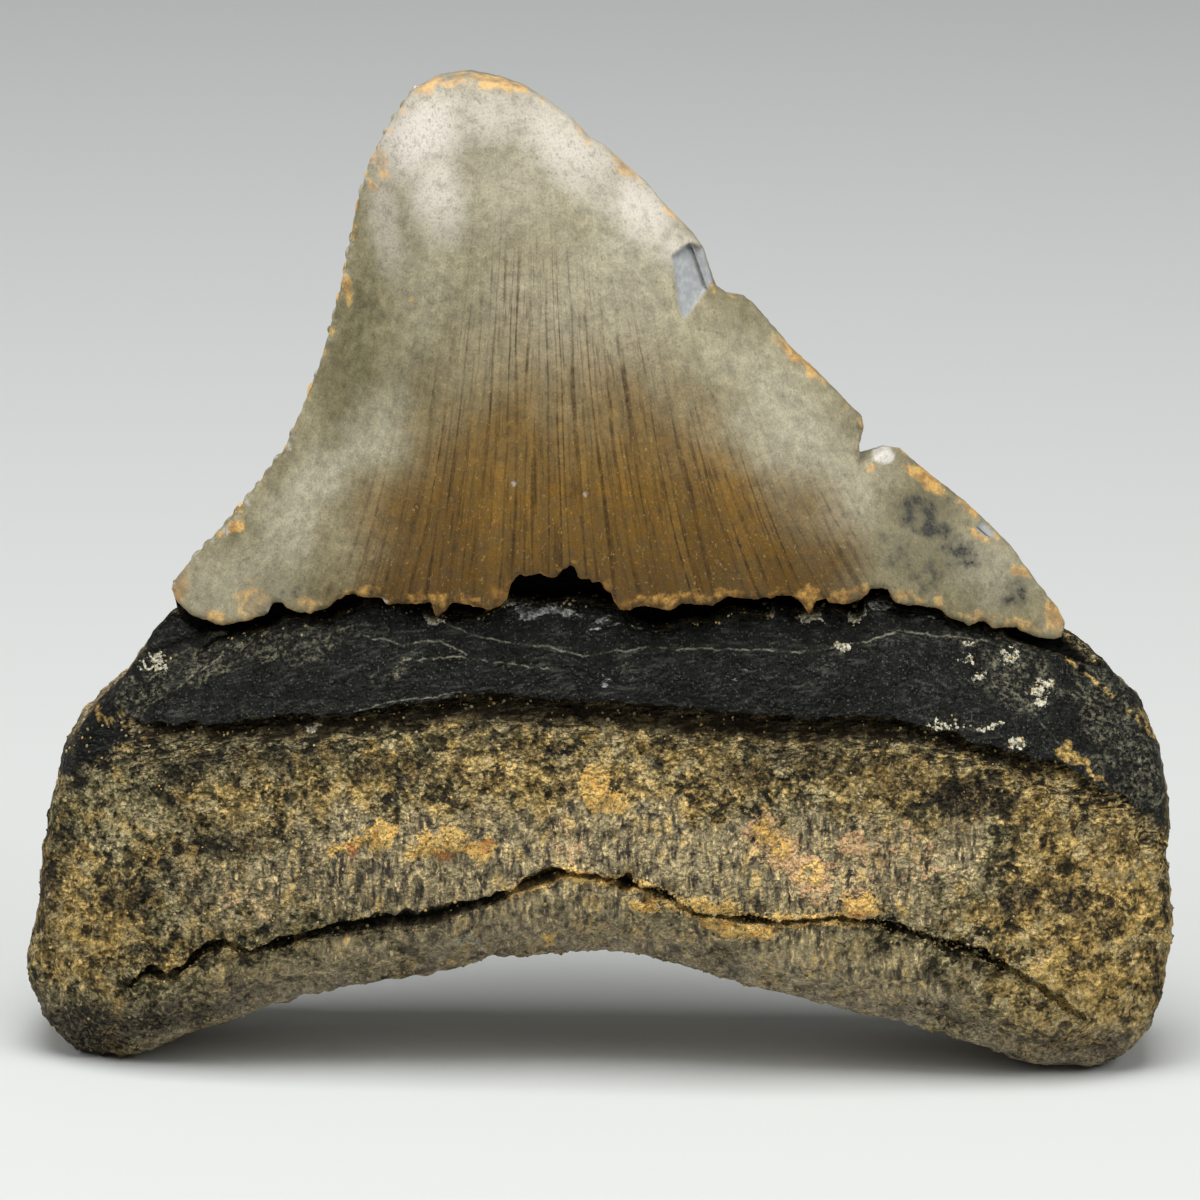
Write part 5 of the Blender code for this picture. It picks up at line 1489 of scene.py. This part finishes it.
def grown(name, carrier, tree, values):
    """The plain mesh that a Geometry Nodes tree makes on a carrier mesh."""
    holder = bpy.data.objects.new(name + "_carrier", carrier)
    bpy.context.scene.collection.objects.link(holder)
    modifier = holder.modifiers.new("made", "NODES")
    modifier.node_group = tree
    for socket in tree.interface.items_tree:
        if socket.in_out == "INPUT" and socket.name in values:
            modifier[socket.identifier] = values[socket.name]
    graph = bpy.context.evaluated_depsgraph_get()
    mesh = bpy.data.meshes.new_from_object(holder.evaluated_get(graph), depsgraph=graph)
    mesh.name = name
    holder.modifiers.remove(modifier)
    bpy.data.objects.remove(holder, do_unlink=True)
    if not len(mesh.polygons):
        raise RuntimeError("no " + name + " were made")
    return mesh


def held_in_box(mesh):
    """Holds a scattered mesh's points inside the solid's box."""
    places = np.zeros(len(mesh.vertices) * 3)
    mesh.vertices.foreach_get("co", places)
    places = places.reshape(-1, 3)
    mesh.vertices.foreach_set("co", np.clip(places, LOWEST * MM, HIGHEST * MM).ravel())
    return mesh


def build_beads(shape, colours):
    """Worn serrations along the left cutting edge."""
    line = evenly(CROWN_LEFT[1:], 0.3)
    depth = np.full(len(line), CUTTING_PLANE + DEPTH_SHIFT)
    places = np.column_stack([line[:, 0] + 0.1, depth, line[:, 1] - 0.05])
    carrier = bpy.data.meshes.new("edge_line")
    carrier.from_pydata((places * MM).tolist(), [(i, i + 1) for i in range(len(places) - 1)], [])
    material = bead_material(colours)
    mesh = grown("serration_beads", carrier, bead_tree(material), {
        "Pitch": shape.bead_pitch * MM, "Half Width": shape.bead_size * MM})
    return add_piece("serration_beads", held_in_box(mesh), material)


def sediment_share(x, z):
    """How densely loose grains lie on the inner face."""
    away, _ = away_from(CRACK, x, z)
    crack = rise(0.45, 0.2, away) * mix(0.06, 0.8, rise(0.5, 3.0, x))
    crest = height_on(CREST, x)
    sole = height_on(SOLE, x)
    ledge = rise(0.35, 0.1, np.abs(z - crest + 0.1)) * np.clip(0.4 + uneven(x, z, 2.0, 2, 5.0), 0.0, 1.0)
    strip = rise(0.5, 0.2, np.abs(z - sole + 0.45)) * 0.1
    patches = marked(ROOT_RUST + ROOT_PALE, x, z) * 0.4
    spread = 0.03 * (z < sole)
    return np.clip(np.maximum.reduce([0.8 * crack, 0.12 * ledge, strip, patches, spread]), 0.0, 1.0)


def build_sediment(shape, colours):
    """Grains of sediment in the crack, along the band and over the root."""
    source = bpy.data.objects["root"].data
    places = np.zeros(len(source.vertices) * 3)
    source.vertices.foreach_get("co", places)
    places = places.reshape(-1, 3) / MM
    x, y, z = places.T
    share = np.where(y - DEPTH_SHIFT < -0.5, sediment_share(x, z), 0.0)
    carrier = source.copy()
    data = carrier.attributes.new("grain_share", "FLOAT", "POINT").data
    data.foreach_set("value", share.astype(np.float32))
    material = grain_material(colours)
    mesh = grown("sediment_grains", carrier, grain_tree(material), {
        "Grains per Square Metre": shape.grain_density * 1e6,
        "Smallest": 0.03 * MM, "Largest": shape.grain_size * MM})
    return add_piece("sediment_grains", held_in_box(mesh), material)


# Stage.
def build_stage(stage):
    """Pale floor, soft lights and the camera."""
    floor_mesh = bpy.data.meshes.new("floor")
    reach = 3.0
    corners = [(-reach, -reach, 0), (reach, -reach, 0), (reach, reach, 0), (-reach, reach, 0)]
    floor_mesh.from_pydata(corners, [], [(0, 1, 2, 3)])
    material, _, surface = new_material("pale_floor", 0.8, 0.3)
    surface.inputs["Base Color"].default_value = solid(stage.floor_colour)
    floor_mesh.materials.append(material)
    floor = bpy.data.objects.new("floor", floor_mesh)
    bpy.context.scene.collection.objects.link(floor)
    world = bpy.data.worlds.new("soft_room")
    world.use_nodes = True
    world.node_tree.nodes["Background"].inputs["Color"].default_value = solid(stage.room_colour)
    world.node_tree.nodes["Background"].inputs["Strength"].default_value = stage.room_light
    bpy.context.scene.world = world
    aim = Vector((0.0, 0.0, 0.025))
    powers = (stage.overhead_light, stage.side_light, stage.side_light)
    for (name, place, size), power in zip(SOFTBOXES, powers):
        light = bpy.data.lights.new(name, "AREA")
        light.size = size
        light.energy = power
        lamp = bpy.data.objects.new(name, light)
        lamp.location = place
        lamp.rotation_euler = (Vector(place) - aim).to_track_quat("Z", "Y").to_euler()
        bpy.context.scene.collection.objects.link(lamp)
    build_camera(stage)


def build_camera(stage):
    """Camera in front of the inner face, looking down a little."""
    pitch, roll = radians(CAMERA_PITCH), radians(CAMERA_ROLL)
    forward = Vector((0.0, cos(pitch), -sin(pitch)))
    level_up = Vector((0.0, sin(pitch), cos(pitch)))
    side = Vector((1.0, 0.0, 0.0))
    right = cos(roll) * side + sin(roll) * level_up
    up = cos(roll) * level_up - sin(roll) * side
    target = Vector((CAMERA_TARGET[0], DEPTH_SHIFT, CAMERA_TARGET[1])) * MM
    distance = stage.camera_distance
    camera = bpy.data.cameras.new("camera")
    camera.sensor_width = SENSOR_WIDTH
    camera.lens = SENSOR_WIDTH * distance / (VIEW_WIDTH * MM)
    camera.clip_start = 0.01
    holder = bpy.data.objects.new("camera", camera)
    holder.matrix_world = Matrix.Translation(target - forward * distance) @ Matrix(
        (right, up, -forward)).transposed().to_4x4()
    bpy.context.scene.collection.objects.link(holder)
    bpy.context.scene.camera = holder
    bpy.context.scene.view_settings.view_transform = "Standard"


# What a user may change.
def size_property(name, description, default):
    return FloatProperty(name=name, description=description, default=default, min=0.0)


def colour_property(name, description, values):
    return FloatVectorProperty(name=name, description=description, default=shade(*values),
                               subtype="COLOR", size=3, min=0.0, max=1.0)


class ToothShape(bpy.types.PropertyGroup):
    """Sizes of the pieces, in millimetres."""
    crown_step: size_property("Crown Step", "Distance between points on the enamel", 0.13)
    root_step: size_property("Root Step", "Distance between points on the inner face of the root", 0.155)
    back_step: size_property("Back Step", "Distance between points on the outer faces", 0.3)
    lip_thickness: size_property("Lip Thickness", "Thickness of the enamel's broken lip", 0.5)
    gap_height: size_property("Gap Height", "How far the gap reaches up behind the lip", 1.4)
    gap_depth: size_property("Gap Depth", "Depth of the gap above the dark band", 1.7)
    crack_depth: size_property("Crack Depth", "Depth of the crack across the root", 0.7)
    weathering: size_property("Weathering", "Height of the root's surface grain", 0.2)
    bead_pitch: size_property("Bead Pitch", "Distance from one serration to the next", 0.83)
    bead_size: size_property("Bead Size", "Half width of a serration", 0.22)
    grain_size: size_property("Grain Size", "Half width of the largest sediment grain", 0.11)
    grain_density: size_property("Grain Density", "Sediment grains on each square millimetre", 30.0)


class ToothColours(bpy.types.PropertyGroup):
    """Colours of the fossil."""
    enamel: colour_property("Enamel", "Grey-olive enamel", (154, 146, 116))
    enamel_shadow: colour_property("Enamel Shadow", "Darker clouds in the enamel", (126, 118, 90))
    enamel_deep: colour_property("Deep Enamel", "Dark olive areas of the enamel", (102, 96, 66))
    # Pale enamel also serves as painted highlight near the tip.
    enamel_pale: colour_property("Pale Enamel", "Pale bands of the enamel", (176, 170, 148))
    enamel_glint: colour_property("Enamel Glint", "Tiny pale specks", (200, 166, 104))
    # Frost: whitish wear on the tip, partly painted highlight.
    frost_and_highlight: colour_property("Frost", "Worn, whitish tip", (228, 220, 208))
    amber: colour_property("Amber", "Brown middle of the crown", (127, 93, 32))
    amber_dark: colour_property("Dark Amber", "Darker shafts in the amber", (78, 54, 15))
    growth_line: colour_property("Growth Line", "Dark growth lines and pits", (52, 34, 12))
    rim: colour_property("Rim", "Broken edge of the enamel", (176, 128, 62))
    rim_dark: colour_property("Dark Rim", "Darker edge of the enamel", (120, 84, 38))
    rust_light: colour_property("Light Rust", "Golden stains", (238, 186, 100))
    rust_deep: colour_property("Deep Rust", "Orange stains", (194, 138, 60))
    smudge: colour_property("Smudge", "Dark smudges on the enamel", (42, 44, 42))
    chip: colour_property("Chip", "Fresh chips in the enamel", (150, 154, 156))
    # White chip also paints the glints along the left edge.
    white_chip: colour_property("White Chip", "White edges of chips", (224, 220, 212))
    band: colour_property("Band", "Dark band below the crown", (20, 20, 17))
    band_blue: colour_property("Blue Band", "Bluish parts of the band", (29, 30, 28))
    band_fleck: colour_property("Band Fleck", "Light flecks in the band", (92, 92, 82))
    dust: colour_property("Dust", "Yellowish dust on the band", (116, 112, 90))
    chalk: colour_property("Chalk", "Chalky chips on the band's edge", (174, 174, 166))
    chalk_shadow: colour_property("Chalk Shadow", "Grey-blue chips on the band's edge", (72, 74, 72))
    hairline: colour_property("Hairline", "Pale hairline cracks", (138, 134, 116))
    crumb: colour_property("Crumb", "Pale crumbs and chips", (190, 185, 162))
    bone: colour_property("Bone", "Olive-brown bone", (119, 110, 75))
    bone_dark: colour_property("Dark Bone", "Dark grains of the root", (38, 35, 29))
    bone_light: colour_property("Light Bone", "Light grains of the root", (196, 180, 136))
    bone_ochre: colour_property("Ochre Bone", "Ochre areas of the root", (200, 166, 96))
    bone_gold: colour_property("Golden Bone", "Golden grains of the root", (246, 206, 124))
    fibre: colour_property("Fibre", "Upright fibres of the root", (184, 168, 128))
    fibre_dark: colour_property("Dark Fibre", "Hollows between the fibres", (78, 71, 61))
    fibre_pale: colour_property("Pale Fibre", "Pale strokes on the fibres", (246, 218, 158))
    worn: colour_property("Worn Bone", "Smoother bone along the arch", (176, 163, 140))
    red: colour_property("Red Stain", "Reddish spots", (204, 128, 76))
    pink: colour_property("Pink Bone", "Pinkish areas of the root", (222, 178, 130))
    # Grey stain: partly painted shade at the feet and below the band.
    grey_stain_and_shade: colour_property("Grey Stain", "Dark grey stains", (38, 35, 32))
    # Strip: dark brown below the band, partly painted shade under its overhang.
    strip: colour_property("Strip", "Brown strip below the band", (38, 30, 19))
    # Hollow: painted shade, near-black inside the gap and the cracks.
    hollow: colour_property("Hollow", "Inside of gaps and cracks", (5, 4, 3))


class ToothStage(bpy.types.PropertyGroup):
    """Floor, lights and camera."""
    floor_colour: colour_property("Floor", "Pale floor", (210, 212, 210))
    room_colour: colour_property("Room", "Light from the room", (235, 238, 240))
    room_light: size_property("Room Light", "Strength of the light from the room", 0.2)
    overhead_light: FloatProperty(name="Overhead Light", description="Power of the overhead softbox",
                                  default=2.5, min=0.0, unit="POWER")
    side_light: FloatProperty(name="Side Light", description="Power of each side softbox",
                              default=0.85, min=0.0, unit="POWER")
    camera_distance: FloatProperty(name="Camera Distance", description="From the camera to the tooth",
                                   default=0.4, min=0.1, unit="LENGTH")


class ToothOperator:
    """What the tooth's operators share."""
    bl_options = {"REGISTER", "UNDO"}

    def execute(self, context):
        scene = context.scene
        self.build(scene.tooth_shape, scene.tooth_colours, scene.tooth_stage)
        return {"FINISHED"}


class BuildRoot(ToothOperator, bpy.types.Operator):
    """Build the root with its dark band and crack"""
    bl_idname = "fossil_tooth.build_root"
    bl_label = "Build Root"

    def build(self, shape, colours, stage):
        build_root(shape, colours)


class BuildCrown(ToothOperator, bpy.types.Operator):
    """Build the enamel crown"""
    bl_idname = "fossil_tooth.build_crown"
    bl_label = "Build Crown"

    def build(self, shape, colours, stage):
        build_crown(shape, colours)


class AddBeads(ToothOperator, bpy.types.Operator):
    """Add the worn serrations of the left cutting edge"""
    bl_idname = "fossil_tooth.add_beads"
    bl_label = "Add Serrations"

    def build(self, shape, colours, stage):
        build_beads(shape, colours)


class AddSediment(ToothOperator, bpy.types.Operator):
    """Scatter grains of sediment over the root"""
    bl_idname = "fossil_tooth.add_sediment"
    bl_label = "Add Sediment"

    def build(self, shape, colours, stage):
        build_sediment(shape, colours)


class SetStage(ToothOperator, bpy.types.Operator):
    """Set the floor, the lights and the camera"""
    bl_idname = "fossil_tooth.set_stage"
    bl_label = "Set Stage"

    def build(self, shape, colours, stage):
        build_stage(stage)


OPERATORS = (SetStage, BuildRoot, BuildCrown, AddBeads, AddSediment)


class ToothPanel(bpy.types.Panel):
    """Buttons that build the tooth, piece by piece"""
    bl_idname = "VIEW3D_PT_fossil_tooth"
    bl_label = "Fossil Tooth"
    bl_space_type = "VIEW_3D"
    bl_region_type = "UI"
    bl_category = "Fossil Tooth"

    def draw(self, context):
        for operator in OPERATORS:
            self.layout.operator(operator.bl_idname)
        for group in (context.scene.tooth_shape, context.scene.tooth_colours, context.scene.tooth_stage):
            for name in group.__annotations__:
                self.layout.prop(group, name)


CLASSES = (ToothShape, ToothColours, ToothStage) + OPERATORS + (ToothPanel,)


def register():
    for item in CLASSES:
        bpy.utils.register_class(item)
    bpy.types.Scene.tooth_shape = PointerProperty(type=ToothShape)
    bpy.types.Scene.tooth_colours = PointerProperty(type=ToothColours)
    bpy.types.Scene.tooth_stage = PointerProperty(type=ToothStage)


def unregister():
    del bpy.types.Scene.tooth_shape
    del bpy.types.Scene.tooth_colours
    del bpy.types.Scene.tooth_stage
    for item in reversed(CLASSES):
        bpy.utils.unregister_class(item)


def main():
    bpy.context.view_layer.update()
    register()
    for operator in OPERATORS:
        group, name = operator.bl_idname.split(".")
        getattr(getattr(bpy.ops, group), name)()


if __name__ == "__main__":
    main()
